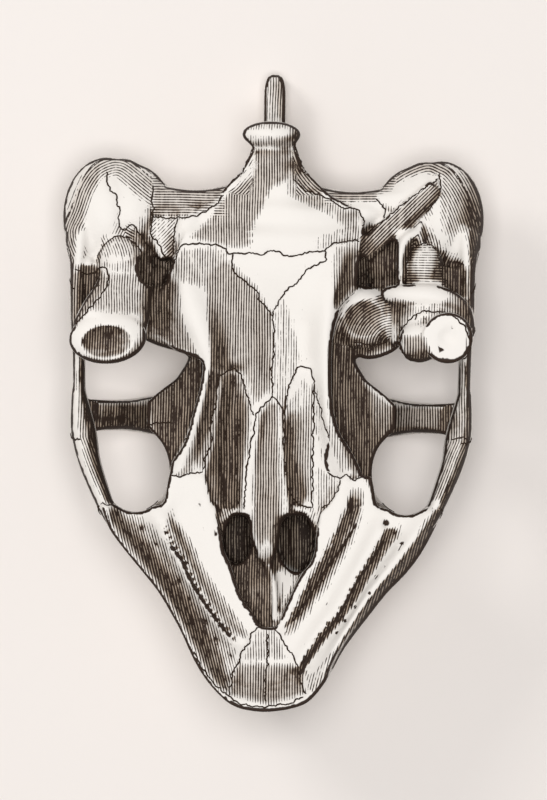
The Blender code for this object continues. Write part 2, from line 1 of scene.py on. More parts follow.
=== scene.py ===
# %% [markdown]
# # A giant tortoise's skull, palate up
# The skull is one piece of dry bone that lies on its roof, so that the camera looks down on the palate.
# A coarse solid of it is loaded first as the frame. This lesson models the same bone again with a fine
# skin, sutures, pits and grain, and gives it a finish of ivory bone with brown stain and painted shade in
# its hollows, painted shade on the slopes turned from the light, and painted outlines.

# %% Load the frame
import json
import math
import bmesh
import bpy
import numpy as np
from mathutils import Matrix, Vector, noise
from mathutils.bvhtree import BVHTree
from mathutils.kdtree import KDTree

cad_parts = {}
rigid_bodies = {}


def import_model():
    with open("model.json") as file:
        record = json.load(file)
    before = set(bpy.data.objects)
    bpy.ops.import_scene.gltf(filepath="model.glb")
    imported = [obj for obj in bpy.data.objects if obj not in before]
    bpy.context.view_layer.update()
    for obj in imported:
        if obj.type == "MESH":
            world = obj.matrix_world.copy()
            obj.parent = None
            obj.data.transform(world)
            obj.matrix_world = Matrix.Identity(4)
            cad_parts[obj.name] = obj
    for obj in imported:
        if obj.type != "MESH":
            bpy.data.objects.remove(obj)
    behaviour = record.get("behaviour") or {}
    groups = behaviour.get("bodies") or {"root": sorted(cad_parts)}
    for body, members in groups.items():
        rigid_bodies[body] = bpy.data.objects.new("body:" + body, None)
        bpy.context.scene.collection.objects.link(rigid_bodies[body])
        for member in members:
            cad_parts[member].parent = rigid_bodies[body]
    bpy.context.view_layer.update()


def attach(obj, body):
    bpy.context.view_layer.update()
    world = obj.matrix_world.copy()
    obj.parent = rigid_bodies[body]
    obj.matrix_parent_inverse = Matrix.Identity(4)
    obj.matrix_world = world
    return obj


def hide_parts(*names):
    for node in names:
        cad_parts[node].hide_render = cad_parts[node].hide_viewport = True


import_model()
MM = 0.001


# %% [markdown]
# ## A floor, a camera and soft light
# The picture looks straight down on the skull, and a drawing has no perspective. A very long lens far
# above comes close to that. The picture's midline leans a little, so the camera is turned by the same
# angle. The key lamp stands up and to the left, as the shading of the picture tells. A broad lamp
# straight above and a pale world fill the shadows.

# %% Floor
PAPER = (0.82, 0.775, 0.745, 1)
FLOOR_SIZE = 6.0              # in metres, so that its edges stay out of sight
FLOOR_GAP = 0.2               # in mm, so that the roof of the skull and the floor don't share one plane


def new_finish(name, gloss):
    """A material and its shader."""
    finish = bpy.data.materials.new(name)
    finish.use_nodes = True
    shader = finish.node_tree.nodes["Principled BSDF"]
    shader.inputs["Specular IOR Level"].default_value = gloss
    return finish, shader


bpy.ops.mesh.primitive_plane_add(size=FLOOR_SIZE, location=(0, 0, -FLOOR_GAP * MM))
floor = bpy.context.object
floor.name = "floor"
floor_finish, floor_shader = new_finish("floor_finish", 0.2)
floor_shader.inputs["Base Color"].default_value = PAPER
floor_shader.inputs["Roughness"].default_value = 0.9
floor.data.materials.append(floor_finish)
print("floor", FLOOR_SIZE, "m wide")

# %% Camera
LENS = 800.0
SENSOR = 36.0
LONG_SIDE_MM = 200.0          # what the long side of the picture covers at the palate's height
PALATE_HEIGHT = 40.0
LEAN = math.atan(7 / 625)     # lean of the skull's midline in the picture
AIM = (0.52, -2.12)           # place in plan, in mm, that lies in the middle of the picture
camera_data = bpy.data.cameras.new("camera")
camera_data.lens = LENS
camera_data.sensor_width = SENSOR
camera_data.clip_start = 0.5
camera_data.clip_end = 20
camera = bpy.data.objects.new("camera", camera_data)
bpy.context.scene.collection.objects.link(camera)
away = LENS * LONG_SIDE_MM / SENSOR
camera.location = (AIM[0] * MM, AIM[1] * MM, (PALATE_HEIGHT + away) * MM)
camera.rotation_euler = (0, 0, LEAN)
bpy.context.scene.camera = camera
print("camera", round(away), "mm above the palate")

# %% Light
def add_lamp(name, place, size, power, colour=(1, 1, 1)):
    """A square soft box that faces the skull."""
    lamp_data = bpy.data.lights.new(name, "AREA")
    lamp_data.size, lamp_data.energy, lamp_data.color = size, power, colour
    lamp = bpy.data.objects.new(name, lamp_data)
    bpy.context.scene.collection.objects.link(lamp)
    lamp.location = place
    lamp.rotation_euler = (-Vector(place)).to_track_quat("-Z", "Y").to_euler()
    lamp.visible_camera = False


add_lamp("key", (-0.62, 0.55, 0.80), 0.35, 3.0, (1.0, 0.985, 0.96))
add_lamp("top", (0.0, 0.0, 1.6), 0.5, 13.0)
world = bpy.data.worlds.new("pale_world")
bpy.context.scene.world = world
world.use_nodes = True
world.node_tree.nodes["Background"].inputs["Color"].default_value = (1.0, 0.985, 0.97, 1)
world.node_tree.nodes["Background"].inputs["Strength"].default_value = 0.46
bpy.context.scene.view_settings.view_transform = "Standard"

# %% [markdown]
# ## Sizes of the bone
# The long lines of the skull are given in millimetres, with a few points each. A smooth curve through
# them gives the rest. Nothing is symmetric to the last millimetre, so the two jaws have their own lines.

# %% Sizes
SNOUT_Y = -79.9               # front of the biting rim
CREST_Y = 79.9                # tip of the crest blade
CUP_X = 41.0                  # middle of each jaw joint
CUP_TOP = 57.0                # height of the jaw joints over the table
RIM_TOP_FRONT = 58.0          # height of the biting rim at the front
RIM_TOP_BACK = 50.0           # and at the cheeks
PLATE_LOW = 36.0              # underside of the palate behind the jaws
print("from the snout to the crest:", round(CREST_Y - SNOUT_Y, 1), "mm")

# %% Outlines
RIM_LEFT = [(-42.4, -28.8), (-41.2, -32), (-40, -35), (-36.2, -40), (-32, -45), (-27.9, -50), (-24.8, -55),
            (-22, -60), (-19.7, -65), (-17, -70), (-13, -75), (-8, -78.8)]
RIM_RIGHT = [(8.5, -78.2), (12.3, -75), (16, -69.5), (18.3, -65), (21.8, -60), (25.6, -55), (29.5, -50),
             (34.3, -45), (38, -40), (40.7, -35), (42.2, -32), (43.5, -28.8)]
ROOF = [(-72, 6), (-70, 9), (-60, 14), (-45, 18), (-30, 21.5), (-18, 24), (-10, 27), (-4, 29), (2, 24),
        (8, 20), (14, 14), (22, 9), (35, 5)]      # y and half width
print("biting rim:", len(RIM_LEFT) + len(RIM_RIGHT), "points, roof:", len(ROOF))

# %% [markdown]
# ## Tools for shaping
# Bones are bars, plates and lumps that run into each other. A few helpers make closed skins of these
# kinds in one bmesh. They overlap freely, because a voxel remesh melts them into one skin later.

# %% Helpers for lines
def smooth_line(points, steps=6):
    """Points of a smooth curve that runs through the given ones."""
    pts = [np.array(p, float) for p in points]
    pts = [2 * pts[0] - pts[1]] + pts + [2 * pts[-1] - pts[-2]]
    line = []
    for a, b, c, d in zip(pts, pts[1:], pts[2:], pts[3:]):
        for k in range(steps):
            t = k / steps
            line.append(0.5 * (2 * b + (c - a) * t + (2 * a - 5 * b + 4 * c - d) * t * t
                               + (3 * b - a - 3 * c + d) * t ** 3))
    line.append(pts[-2])
    return line


def even_line(points, count):
    """The same number of points at even distances along any line."""
    line = np.array(points, float)
    run = np.concatenate([[0], np.cumsum(np.linalg.norm(np.diff(line, axis=0), axis=1))])
    at = np.linspace(0, run[-1], count)
    return np.stack([np.interp(at, run, line[:, k]) for k in range(line.shape[1])], axis=1)

# %% Helpers for forms
def add_loft(bm, rings):
    """A closed skin over a row of rings with the same number of points."""
    rows = [[bm.verts.new(Vector(p) * MM) for p in ring] for ring in rings]
    count = len(rows[0])
    for one, two in zip(rows, rows[1:]):
        for k in range(count):
            bm.faces.new((one[k], one[(k + 1) % count], two[(k + 1) % count], two[k]))
    bm.faces.new(rows[0][::-1])
    bm.faces.new(rows[-1])


def add_bar(bm, stations, sides=16, square=1.0):
    """A bar of bone: stations of x, y, z, half width and half height; under 1, square flattens its sides."""
    path = smooth_line(stations)
    rings = []
    for k, point in enumerate(path):
        ahead = path[min(k + 1, len(path) - 1)][:3] - path[max(k - 1, 0)][:3]
        along = Vector(ahead).normalized()
        wide = along.cross(Vector((0, 0, 1)))
        wide = wide.normalized() if wide.length > 0.15 else Vector((1, 0, 0))
        high = wide.cross(along)
        middle = Vector(point[:3])
        ring = []
        for s in range(sides):
            a = 2 * math.pi * s / sides
            out = math.copysign(abs(math.cos(a)) ** square, math.cos(a))
            up = math.copysign(abs(math.sin(a)) ** square, math.sin(a))
            ring.append(middle + wide * point[3] * out + high * point[4] * up)
        rings.append(ring)
    add_loft(bm, rings)


def add_block(bm, stations):
    """A block along Y: stations of y, then (half width, z) pairs from the foot to the top."""
    rings = []
    for station in stations:
        y, pairs = station[0], station[1]
        left = [(-x, y, z) for x, z in pairs]
        right = [(x, y, z) for x, z in reversed(pairs)]
        rings.append(left + right)
    add_loft(bm, rings)

# %% Balls, plates and shafts
SKY = 70                      # a height over the whole skull


def add_ball(bm, middle, radii, turn=(0, 0, 0)):
    """An egg-shaped lump, turned by degrees about X, Y and Z."""
    spin = Matrix.Rotation(math.radians(turn[2]), 4, "Z") @ Matrix.Rotation(math.radians(turn[1]), 4, "Y")
    spin = spin @ Matrix.Rotation(math.radians(turn[0]), 4, "X")
    place = Matrix.Translation(Vector(middle) * MM) @ spin @ Matrix.Diagonal((*(r * MM for r in radii), 1))
    bmesh.ops.create_uvsphere(bm, u_segments=28, v_segments=16, radius=1, matrix=place)


def add_plate(bm, outline, low, high):
    """A flat plate with the given outline between two heights."""
    add_loft(bm, [[(x, y, low) for x, y in outline], [(x, y, high) for x, y in outline]])


def oval(middle, radii, count=28):
    """Points of an oval in plan."""
    turns = [2 * math.pi * k / count for k in range(count)]
    return [(middle[0] + radii[0] * math.cos(a), middle[1] + radii[1] * math.sin(a)) for a in turns]


def add_shaft(bm, middle, radii, low):
    """An upright shaft with an oval outline."""
    add_plate(bm, oval(middle, radii), low, SKY)


def on_side(side, points):
    """Points given for the right half, on the right (1) or on the left (-1)."""
    return [(side * point[0], *point[1:]) for point in points]

# %% [markdown]
# ## Snout and roof
# The beak is the strongest part of the skull: a box round the nose, lofted from the roof up to the
# biting rim. The roof is a low dome that carries the skull while it lies on the table. Lofts between a few
# outlines are used, because each outline can follow the bone's own line at its height.

# %% Snout
# Shares of the way from the roof's outline to the rim, and heights. The last lies at the rim's own height.
WALL = [(0, 1), (0.12, 5), (0.34, 14), (0.58, 26), (0.8, 36), (0.93, 42), (1.0, 47), (1.0, None)]
RIM_POINTS = 61


def rim_height(y):
    """Height of the biting rim over the table, which falls from the front to the cheeks."""
    back = np.clip((y - SNOUT_Y) / 52, 0, 1)
    return RIM_TOP_FRONT + (RIM_TOP_BACK - RIM_TOP_FRONT) * back


def snout(bm):
    """Beak and nose box: shares of the way from the roof's outline to the rim, each at its height."""
    rim = even_line(smooth_line(RIM_LEFT + [(0, SNOUT_Y)] + RIM_RIGHT), RIM_POINTS)
    right = [(half, y) for y, half in ROOF[:5]]
    left = [(-half, y) for half, y in reversed(right)]
    foot = even_line(smooth_line([(-22.5, -24)] + left + [(0, -73.5)] + right + [(22.5, -24)]), RIM_POINTS)
    rings = []
    for share, z in WALL:
        ring = [a + (b - a) * share for a, b in zip(foot, rim)]
        rings.append([(x, y, rim_height(y) if z is None else z) for x, y in ring])
    add_loft(bm, rings)


def feet(bm):
    """Feet that join the raised edges of the palate to the jaws."""
    for side in (-1, 1):
        foot = on_side(side, [(13.5, -33), (27, -31.5), (25.4, -21), (16, -21)])
        add_loft(bm, [[(x, y, PLATE_LOW) for x, y in foot], [(x, y, rim_height(y)) for x, y in foot]])

# %% Roof and crest
ROOF_TOP = 7.5
ROOF_RISE = 4.5               # how far the edges of the dome stand over its middle
CREST_THICK = 5.4


def roof(bm):
    """The skull's roof, a low dome that carries the whole skull while it lies on the table."""
    rings = []
    for y, half in smooth_line(ROOF, 3):
        under = [(half * k / 8, y, ROOF_RISE * abs(k / 8) ** 2.4) for k in range(-8, 9)]
        rings.append([(-half, y, ROOF_TOP)] + under + [(half, y, ROOF_TOP)])
    add_loft(bm, rings)


def crest(bm):
    """Blade behind the braincase, deep in front and thin towards its tip."""
    half = CREST_THICK / 2
    add_block(bm, [(30, [(4, 1), (4, 18)]), (50, [(half, 0), (half, 15)]), (66, [(half, 0), (half, 14)]),
                   (76, [(half, 0.0), (half, 12.5)]), (CREST_Y - 1, [(half * 0.8, 1.2), (half * 0.8, 10.5)]),
                   (CREST_Y, [(half * 0.4, 2.5), (half * 0.4, 8)])])

# %% [markdown]
# ## Braincase and base
# Behind the palate lies the bone under the brain. It narrows like a vase to the knob that turns on the
# first bone of the neck. Blocks with a cross-section every few millimetres give the vase, and balls
# give the knob and its feet.

# %% Braincase
CONDYLE = (-0.75, 64.3, 36.0)     # middle of the knob


def braincase(bm):
    """Box between the palate and the roof, wide at its front foot and at the ears."""
    add_block(bm, [
        (-7, [(27, 4), (21, 18), (17, 30), (15, 38)]),
        (-1, [(26, 4), (20, 18), (17, 30), (15, 38)]),
        (5, [(21, 3), (18, 18), (16, 30), (14, 40)]),
        (12, [(15, 3), (16, 18), (15, 30), (13, 41)]),
        (24, [(12, 3), (17, 18), (18, 30), (15, 42)]),
        (36, [(8, 3), (18, 16), (22, 30), (20, 38.5)]),
        (46, [(5, 3), (12, 14), (17, 28), (13, 38.5)]),
        (52, [(4, 5), (8, 13), (9, 30), (6, 37)]),
    ])


def base_of_skull(bm):
    """Thick floor of the braincase, drawn in like a vase to the neck, and the knob of the neck joint."""
    add_block(bm, [
        (24, [(12, 28), (14, 37)]),
        (32, [(20, 28), (21, 38)]),
        (38, [(21, 28), (21, 38)]),
        (44, [(19, 28), (19, 36)]),
        (49, [(12, 28), (12.4, 35)]),
        (53, [(8.6, 28), (8.8, 34.5)]),
        (57, [(6.4, 29), (7, 34.5)]),
        (63, [(4.8, 30), (5.2, 34.5)]),
    ])
    add_ball(bm, CONDYLE, (7.5, 3.4, 5.6))
    for side in (-1, 1):
        add_ball(bm, (side * 4.2, 56, 25), (2.4, 6, 9))
    add_ball(bm, (0, 58, 16), (6, 6, 4))

# %% [markdown]
# ## Palate
# The palate has two troughs, raised edges and the vomer, a ridge in the middle. It could be sculpted, but
# a few lines of known height say more exactly how it rises and falls: the surface passes through all of
# them, and between them the nearer line counts more.

# %% Edges and height lines of the palate
RIDGE_TOP = 49.0              # height of the raised edges
EDGE_LEFT = [(-12.4, -31), (-13.3, -28.5), (-15, -25), (-16.3, -21.8), (-25.2, -20.8), (-24.8, -18),
             (-22, -14), (-20.5, -10), (-19.4, -5), (-18, 0), (-17.3, 4), (-17.2, 7.6), (-23.5, 9.6),
             (-27.6, 12.6), (-30, 16), (-31, 20.5), (-29.2, 23.8), (-27.2, 26), (-25.5, 31), (-23.4, 36.5),
             (-21.5, 41), (-19, 45), (-14, 48.8), (-10.8, 52.5), (-8.3, 56), (-6.4, 59.5), (-5.3, 63.5)]
EDGE_RIGHT = [(11.5, -31), (13, -29), (16.3, -25), (17.4, -21.8), (22.8, -20.8), (22.4, -19), (20, -14.5),
              (17, -10), (15.6, -5), (15, 0), (14.9, 8), (15.1, 13), (16, 18), (18.5, 23), (20.8, 26),
              (21.4, 30), (21.8, 35), (22.8, 41.5), (20.5, 45.8), (14.5, 49), (10.5, 52.5), (7.8, 56.5),
              (6, 60), (5.3, 63.5)]
PALATE_LINES = [
    [(-23.5, -20.5, 47), (-21.5, -14, 48.3), (-18.9, -6, RIDGE_TOP), (-17.3, 0, RIDGE_TOP),
     (-16.2, 8, RIDGE_TOP), (-17.5, 14, RIDGE_TOP), (-20, 20, 48.5), (-21.5, 26, 47), (-22.5, 31, 44)],
    [(20, -20.5, 47), (17.5, -14, 48.3), (15, -8, RIDGE_TOP), (14, -2, RIDGE_TOP), (13.8, 8, RIDGE_TOP),
     (14.1, 18, 48.6), (14.8, 26, 47.4), (16, 33, 45)],
    [(-25.2, -20, 45.6), (-22.4, -14, 46.8), (-20.1, -6, 47.4), (-18, 1, 47.4), (-17.4, 7.5, 47.2)],
    [(22.5, -20, 45.6), (20, -14, 46.6), (16.9, -8, 47.4), (15.4, -2, 47.5), (15.1, 8, 47.5),
     (16, 17, 46.5)],
    [(-18, -19.5, 45.4), (-16, -15.5, 45.2), (-15, -10, 45), (-14.2, -4, 45), (-13.6, 1, 45.3)],
    [(-8.6, 3.5, 43), (-9.4, -3, 41.6), (-10, -12, 40.8), (-10.4, -22, 40.8), (-9.8, -30.5, 42)],
    [(-2.6, -4.5, 45), (-4, -9, 45.3), (-5, -15, 45.5), (-5.9, -21, 45.8), (-6.1, -30, 46)],
    [(-0.2, -2, 44.2), (-1, -12, 44.2), (-1, -22, 44.6), (-1.2, -30, 45.2)],
    [(2, -4, 45), (2.6, -10, 45.3), (2.9, -16, 45.5), (3.6, -22, 45.8), (3.9, -30, 46)],
    [(4.6, -4, 43.4), (5.2, -10, 42.4), (5.8, -18, 42.0), (6.8, -25, 41.8), (7.5, -30.5, 42.2)],
    [(7.5, 5, 46.2), (10.2, 0, 45.2), (10.6, -10, 44.3), (10.6, -20, 44), (10.4, -29, 44)],
    [(-15.6, -23, 44), (-13.2, -29, 43.6)],
    [(16.6, -23, 44), (12.6, -29.5, 43.8)],
    [(0.3, -1, 43.6), (0, 5, 43), (0.4, 12, 43), (0, 20, 43.8)],
    [(-8.5, 9, 44.8), (-9, 16, 45), (-10, 25, 45.2)],
    [(7, 9, 44.4), (7, 16, 44.6)],
    [(-9, 33, 45.2), (0, 31, 45.6), (12, 33, 45.2)],
    [(-22, 37, 42), (-10, 37, 44.3), (0, 37, 45.2), (13, 37, 44.6), (21, 37.5, 42)],
    [(-19, 43.5, 39), (-9, 44, 40.8), (4, 44, 43.2), (14, 43.5, 42), (21, 43.5, 39.5)],
    [(-13, 49, 37.2), (-5, 50, 39.4), (3, 50, 41), (11, 49.5, 38)],
    [(-8, 56, 35.8), (0, 56, 39.8), (7.6, 56, 35.8)],
    [(-5, 62.5, 35.4), (0, 62.5, 38.4), (5, 62.5, 35.4)],
    [(-25, 11.5, 43.5), (-29, 15.5, 41), (-30.5, 20.5, 40.4), (-28.5, 24.5, 40.6), (-25.6, 30.5, 41)],
    [(18, 22.5, 44), (20.8, 27, 42.4), (21.4, 33, 41.6)],
]
print(len(PALATE_LINES), "height lines on the palate")

# %% Palate
def off_stretch(plan, a, b):
    """Way from a straight stretch to each point in plan, and how far along it the way starts, 0 to 1."""
    run = b[:2] - a[:2]
    away = plan - a[:2]
    share = np.clip(away @ run / max(run @ run, 1e-9), 0, 1)
    return away - share[:, None] * run, share


def through_lines(plan, lines):
    """Values at places in plan, of a surface that passes through lines of x, y and value."""
    total = np.zeros(len(plan))
    weights = np.zeros(len(plan))
    for line in lines:
        near = np.full(len(plan), 1e9)
        value = np.zeros(len(plan))
        for a, b in zip(line, line[1:]):
            way, share = off_stretch(plan, a, b)
            gap = (way ** 2).sum(axis=1)
            value = np.where(gap < near, a[2] + (b[2] - a[2]) * share, value)
            near = np.minimum(near, gap)
        weight = 1 / (near + 0.2) ** 1.2
        total += weight * value
        weights += weight
    return total / weights


def add_relief(bm, left, right, lines, foot, across=44):
    """A block between two edges, whose top passes through lines of known height."""
    left, right = np.array(left, float), np.array(right, float)
    rows = np.arange(left[0, 1], left[-1, 1], 0.8)
    share = np.linspace(0, 1, across)
    start = np.interp(rows, left[:, 1], left[:, 0])[:, None]
    end = np.interp(rows, right[:, 1], right[:, 0])[:, None]
    x = start + (end - start) * share
    y = np.repeat(rows[:, None], across, axis=1)
    plan = np.stack([x.ravel(), y.ravel()], axis=1)
    z = through_lines(plan, [smooth_line(line, 3) for line in lines]).reshape(x.shape)
    rings = []
    for xs, ys, zs in zip(x, y, z):
        top = list(zip(xs, ys, zs))
        rings.append(top + [(xs[-1], ys[0], foot), (xs[0], ys[0], foot)])
    add_loft(bm, rings)


def palate(bm):
    """Palate behind the jaws and base of the skull: troughs, the vomer, raised edges, slopes to the neck."""
    add_relief(bm, EDGE_LEFT, EDGE_RIGHT, PALATE_LINES, PLATE_LOW)


def vomer(bm):
    """Front end of the vomer between the nose passages, and the thin strip that runs on from it."""
    add_bar(bm, [(-1.1, -27, 41.5, 4.4, 4.2), (-1.2, -31, 41.8, 4.2, 4.4), (-1.2, -36, 41.4, 3.8, 4.4),
                 (-0.9, -39.5, 40.6, 2.8, 4), (-0.9, -42.3, 39.6, 1.8, 3)], square=0.6)
    add_bar(bm, [(-1.0, -41, 38.5, 1.5, 4), (0.8, -47, 40.5, 1.1, 3), (1.5, -53, 43, 1.0, 2.6),
                 (1.2, -58, 46, 0.9, 2)])

# %% [markdown]
# ## Ears, jaw joints and cheeks
# Beside the braincase stand the ears, with a round lobe behind each and the pillar of the jaw joint in
# front. Thin arches run from there past the eyes to the jaws. What both halves share is made once and
# placed on each side. The left ear is whole and the right one is open, so the rest has its own forms.

# %% Ears and cheeks
LOBE_X = 42.0                 # middle of the lobe behind each ear


def ear_side(bm, side):
    """Otic bone, lobe behind the ear, and the wall outside the ear hollow."""
    add_ball(bm, (side * 21, 38, 24), (13, 12, 12))
    add_bar(bm, on_side(side, [(8, 46.5, 26, 6, 11), (20, 46.8, 27, 3.6, 10), (34, 47.5, 27, 5, 12)]),
            square=0.7)
    add_ball(bm, (side * LOBE_X, 43.5, 26), (11, 15, 15))
    add_ball(bm, (side * 36, 44, 27), (11, 13, 13.2))
    add_ball(bm, (side * 45.8, 37.5, 30), (6.4, 8.2, 9))
    add_bar(bm, on_side(side, [(48.3, 38, 28, 3.8, 13), (48.7, 28, 31, 2.6, 11), (48.7, 18, 35, 2.0, 9),
                               (48.4, 9, 34, 1.7, 7), (48.2, 0, 32, 1.7, 6), (48, -8, 33, 2.1, 7)]))
    wing = on_side(side, [(15, 12.5), (15, -8), (19, -16), (21, -22.5), (27.5, -22.5), (27.5, -14),
                          (32, -9), (32, -3), (24, 3), (21.5, 7), (19.5, 12.5)])
    wing_top = [(x * 0.97, y, 40.5 - 0.35 * (abs(x) - 15)) for x, y in wing]
    add_loft(bm, [[(x, y, 34) for x, y in wing], wing_top])


def quadrate(bm, side):
    """Branch of the quadrate to the palate, and the thin floor between it and the outer wall."""
    add_bar(bm, on_side(side, [(39, 21, 38, 5, 6), (30, 21.5, 36, 4.6, 4.6), (19, 22, 38, 5, 4)]))
    add_plate(bm, on_side(side, [(50.2, 31.5), (40, 31.5), (39, 24), (44, 17), (50.2, 13)]), 35.5, 39.5)
    add_ball(bm, (side * 28.6, 27, 31), (4.6, 4.6, 4.2))


def cheek(bm, side):
    """Bar under the eye socket, and the deep bar behind it that runs down to the roof."""
    add_bar(bm, on_side(side, [(36, -38, 42, 1.5, 3), (40.2, -31, 42, 2.0, 6), (43.0, -24.5, 40.5, 2.5, 8),
                               (45.4, -18, 38.5, 2.9, 8.5), (46.7, -12, 36, 3.3, 8.5),
                               (47.6, -6.5, 33.5, 2.8, 8), (48.4, 0, 33, 1.8, 6.5)]))
    add_bar(bm, on_side(side, [(18, -6, 5, 7, 4), (27, -6.2, 8, 5.4, 5), (36, -6.3, 15, 4.0, 6),
                               (43, -6.4, 23, 3.9, 6.5), (46.4, -6.6, 28.5, 4.2, 4.6)]), square=0.7)

# %% Forms of one side only
def right_ear_forms(bm):
    """Forms that lie open on the right: dish, strut, flange and spike, tongue, and the split joint."""
    add_ball(bm, (22, 44.6, 30), (9, 4.6, 9))
    add_ball(bm, (22.6, 18.4, 38.5), (8.4, 7.6, 4.4))
    add_bar(bm, [(20.3, 11, 36, 1.6, 1.6), (24.5, 10, 37, 1.8, 1.6), (29, 11.4, 37.6, 1.8, 1.6),
                 (31.6, 13.2, 38, 1.4, 1.5)])
    add_ball(bm, (27.5, 33, 33), (5.4, 5.2, 5))
    add_bar(bm, [(31.3, 24, 38, 2.6, 4.5), (31.5, 17, 39, 2.4, 5), (31, 12.4, 38.4, 2, 4)])
    add_bar(bm, [(22.5, 34.8, 37, 2.6, 2.4), (31, 42.8, 39.4, 2.8, 2.6), (40.6, 51.6, 39, 2.3, 2.4)],
            square=0.6)
    add_bar(bm, [(36, 40.2, 38.5, 1.8, 4), (33.0, 38, 39.6, 1.8, 4.6), (31.9, 34, 40, 1.3, 5),
                 (32, 28, 39.6, 1.2, 4)])
    add_bar(bm, [(36.6, 37.8, 41, 1.3, 1.6), (36.7, 42.2, 39.6, 0.9, 2)])
    add_bar(bm, [(38, 35, 27, 5, 7), (38.2, 29, 34, 4.4, 7), (39, 22, 41, 7.4, 6.5), (40, 15.5, 47, 8.2, 6)])
    add_ball(bm, (37.9, 31.1, 39.4), (4.9, 6.6, 6.2))
    add_bar(bm, [(28.6, 24.6, 41, 2, 3), (34, 24.1, 45, 3.1, 4), (41, 23.7, 46, 3.3, 4.6),
                 (46.4, 21, 43, 3, 5), (49, 16.6, 38, 1.8, 4)])
    add_ball(bm, (36.7, 12.7, 49.6), (5.2, 5.2, 5.6))
    add_plate(bm, oval((43.8, 13.8), (6.3, 6.4)), 44, CUP_TOP - 0.6)


def left_joint(bm):
    """Stout pillar and broad oval rim of the left jaw joint."""
    add_bar(bm, [(-37, 37, 28, 6.5, 10), (-36.6, 29, 34, 6.6, 9.5), (-37.8, 22.5, 41, 7.6, 7.5),
                 (-39.6, 17.5, 47, 8.8, 6.4), (-CUP_X, 13.6, CUP_TOP - 5.5, 9.2, 5.8)], square=0.7)
    add_ball(bm, (-CUP_X, 12.8, CUP_TOP - 4), (9.8, 6.5, 4.2), (0, 0, 4))


def left_ear_forms(bm):
    """On the left the ear is covered: dome of the quadrate, rim of the lobe, and a small panel."""
    add_ball(bm, (-38, 31.4, 38.5), (5.9, 7.2, 6.2))
    add_bar(bm, [(-49, 36, 33, 1.6, 5), (-47, 31.8, 36, 1.8, 4), (-44.5, 31.6, 37, 1.6, 3.6)])
    add_bar(bm, [(-27.6, 44, 34.5, 3.2, 3), (-27.6, 38, 36, 3.2, 2.8), (-26.4, 32.8, 37, 2.2, 2.6)],
            square=0.6)
    add_bar(bm, [(-34, 17, 39, 3, 5), (-28, 14.4, 37, 3.4, 5.5), (-21, 12.8, 38, 3.6, 5.5)])
    add_bar(bm, [(-21.4, 33, 36.4, 3.2, 4), (-21.6, 40, 36.6, 4.0, 4), (-20, 45, 35.4, 4, 4)])
    left_joint(bm)

# %% [markdown]
# ## Hollows
# The skull is full of openings: the nose, the eyes, the brain, the ears and the muscles of the jaw all have
# their rooms. They are easier to cut out of the whole than to leave open between its parts, so each
# hollow is a form of its own that is taken away.

# %% Hollows
TROUGH_TOP = 42.0             # floor of the wide trough in front of the palate
OVER_PALATE = 64.0            # a height over the palate's highest place
V_LEFT = [(-13.2, -31), (-12.3, -34.3), (-11.5, -38), (-10.5, -41), (-9, -45), (-7.5, -50), (-5.5, -53.5),
          (-3.5, -56), (-2.2, -58.8)]
V_RIGHT = [(12.2, -31), (11.7, -34), (11, -38), (9, -43), (7, -47), (5, -51.5), (3.5, -55), (2.2, -58.8)]
TROUGH_EDGE = [(-17.5, -14), (-16.3, -21.5), (-15, -25), (-13.5, -28), (-13.1, -32), (12.1, -32),
               (12.6, -30), (14.5, -28.3), (16.5, -25), (17.5, -21), (18, -14)]


def hollows(bm):
    """Everything that is open: nose, nose passages, eye sockets, brain, ears, and the V in the palate."""
    add_bar(bm, [(0, -86, 22, 7.6, 7.4), (0, -72, 22, 7.4, 7.2), (0, -56, 23, 7.6, 7.4),
                 (0, -40, 24, 7.6, 7.4), (0, -18, 24, 7.6, 7.4)])
    for side in (-1, 1):
        add_ball(bm, (side * 40, -19, 20), (16, 12.5, 14.5))
        add_shaft(bm, (side * 33.8, -20), (8.5, 10.6), -10)
        add_ball(bm, (side * 54, 28.5, 29), (14, 7.4, 7.4))
        add_bar(bm, on_side(side, [(33.5, 30, 14, 6, 14), (34, 12, 14, 8, 14), (35, 3, 20, 9.5, 20),
                                   (35.5, 1, 30, 9.5, 20)]))
    add_shaft(bm, (-8.2, -37), (3.6, 6.2), 20)
    add_shaft(bm, (6.8, -37.8), (4.6, 7.4), 20)
    outline = V_LEFT + V_RIGHT[::-1]
    add_loft(bm, [[(x, y, 38 + 8 * min(max((-y - 43) / 15, 0), 1)) for x, y in outline],
                  [(x * 1.05, y - 0.2, OVER_PALATE) for x, y in outline]])
    add_plate(bm, TROUGH_EDGE, TROUGH_TOP, OVER_PALATE)
    add_bar(bm, [(0, 75, 23.5, 5.6, 4.8), (0, 58, 23.5, 5.8, 5), (0, 48, 23, 6, 6), (0, 30, 23, 7.4, 7.4),
                 (0, 6, 24, 7.4, 7.6), (0, -20, 24, 7, 7.6)])


def bowls(bm):
    """Bowls of the dish and of the jaw joints, and pits by the ears, cut once these are in place."""
    add_ball(bm, (23.2, 18.6, 45.4), (6.9, 6.1, 5.2))
    add_ball(bm, (-CUP_X - 0.2, 11.7, CUP_TOP + 1.6), (7.2, 4.7, 5.4), (0, 0, 3))
    add_ball(bm, (44.0, 13.9, CUP_TOP + 5.2), (5.8, 5.9, 6.6), (0, 6, 0))
    add_ball(bm, (-30.8, 30.8, 42), (2.8, 5, 6.4))
    add_ball(bm, (24.6, 28.2, 40), (3.2, 2.1, 5))

# %% Groups of forms
def bone_forms(bm):
    """The solid forms behind the jaws, overlapping."""
    for form in (roof, crest, braincase, base_of_skull):
        form(bm)
    for side in (-1, 1):
        ear_side(bm, side)


def late_forms(bm):
    """Forms that stand in or beside the hollows."""
    palate(bm)
    vomer(bm)
    for side in (-1, 1):
        quadrate(bm, side)
        cheek(bm, side)
    left_ear_forms(bm)
    right_ear_forms(bm)

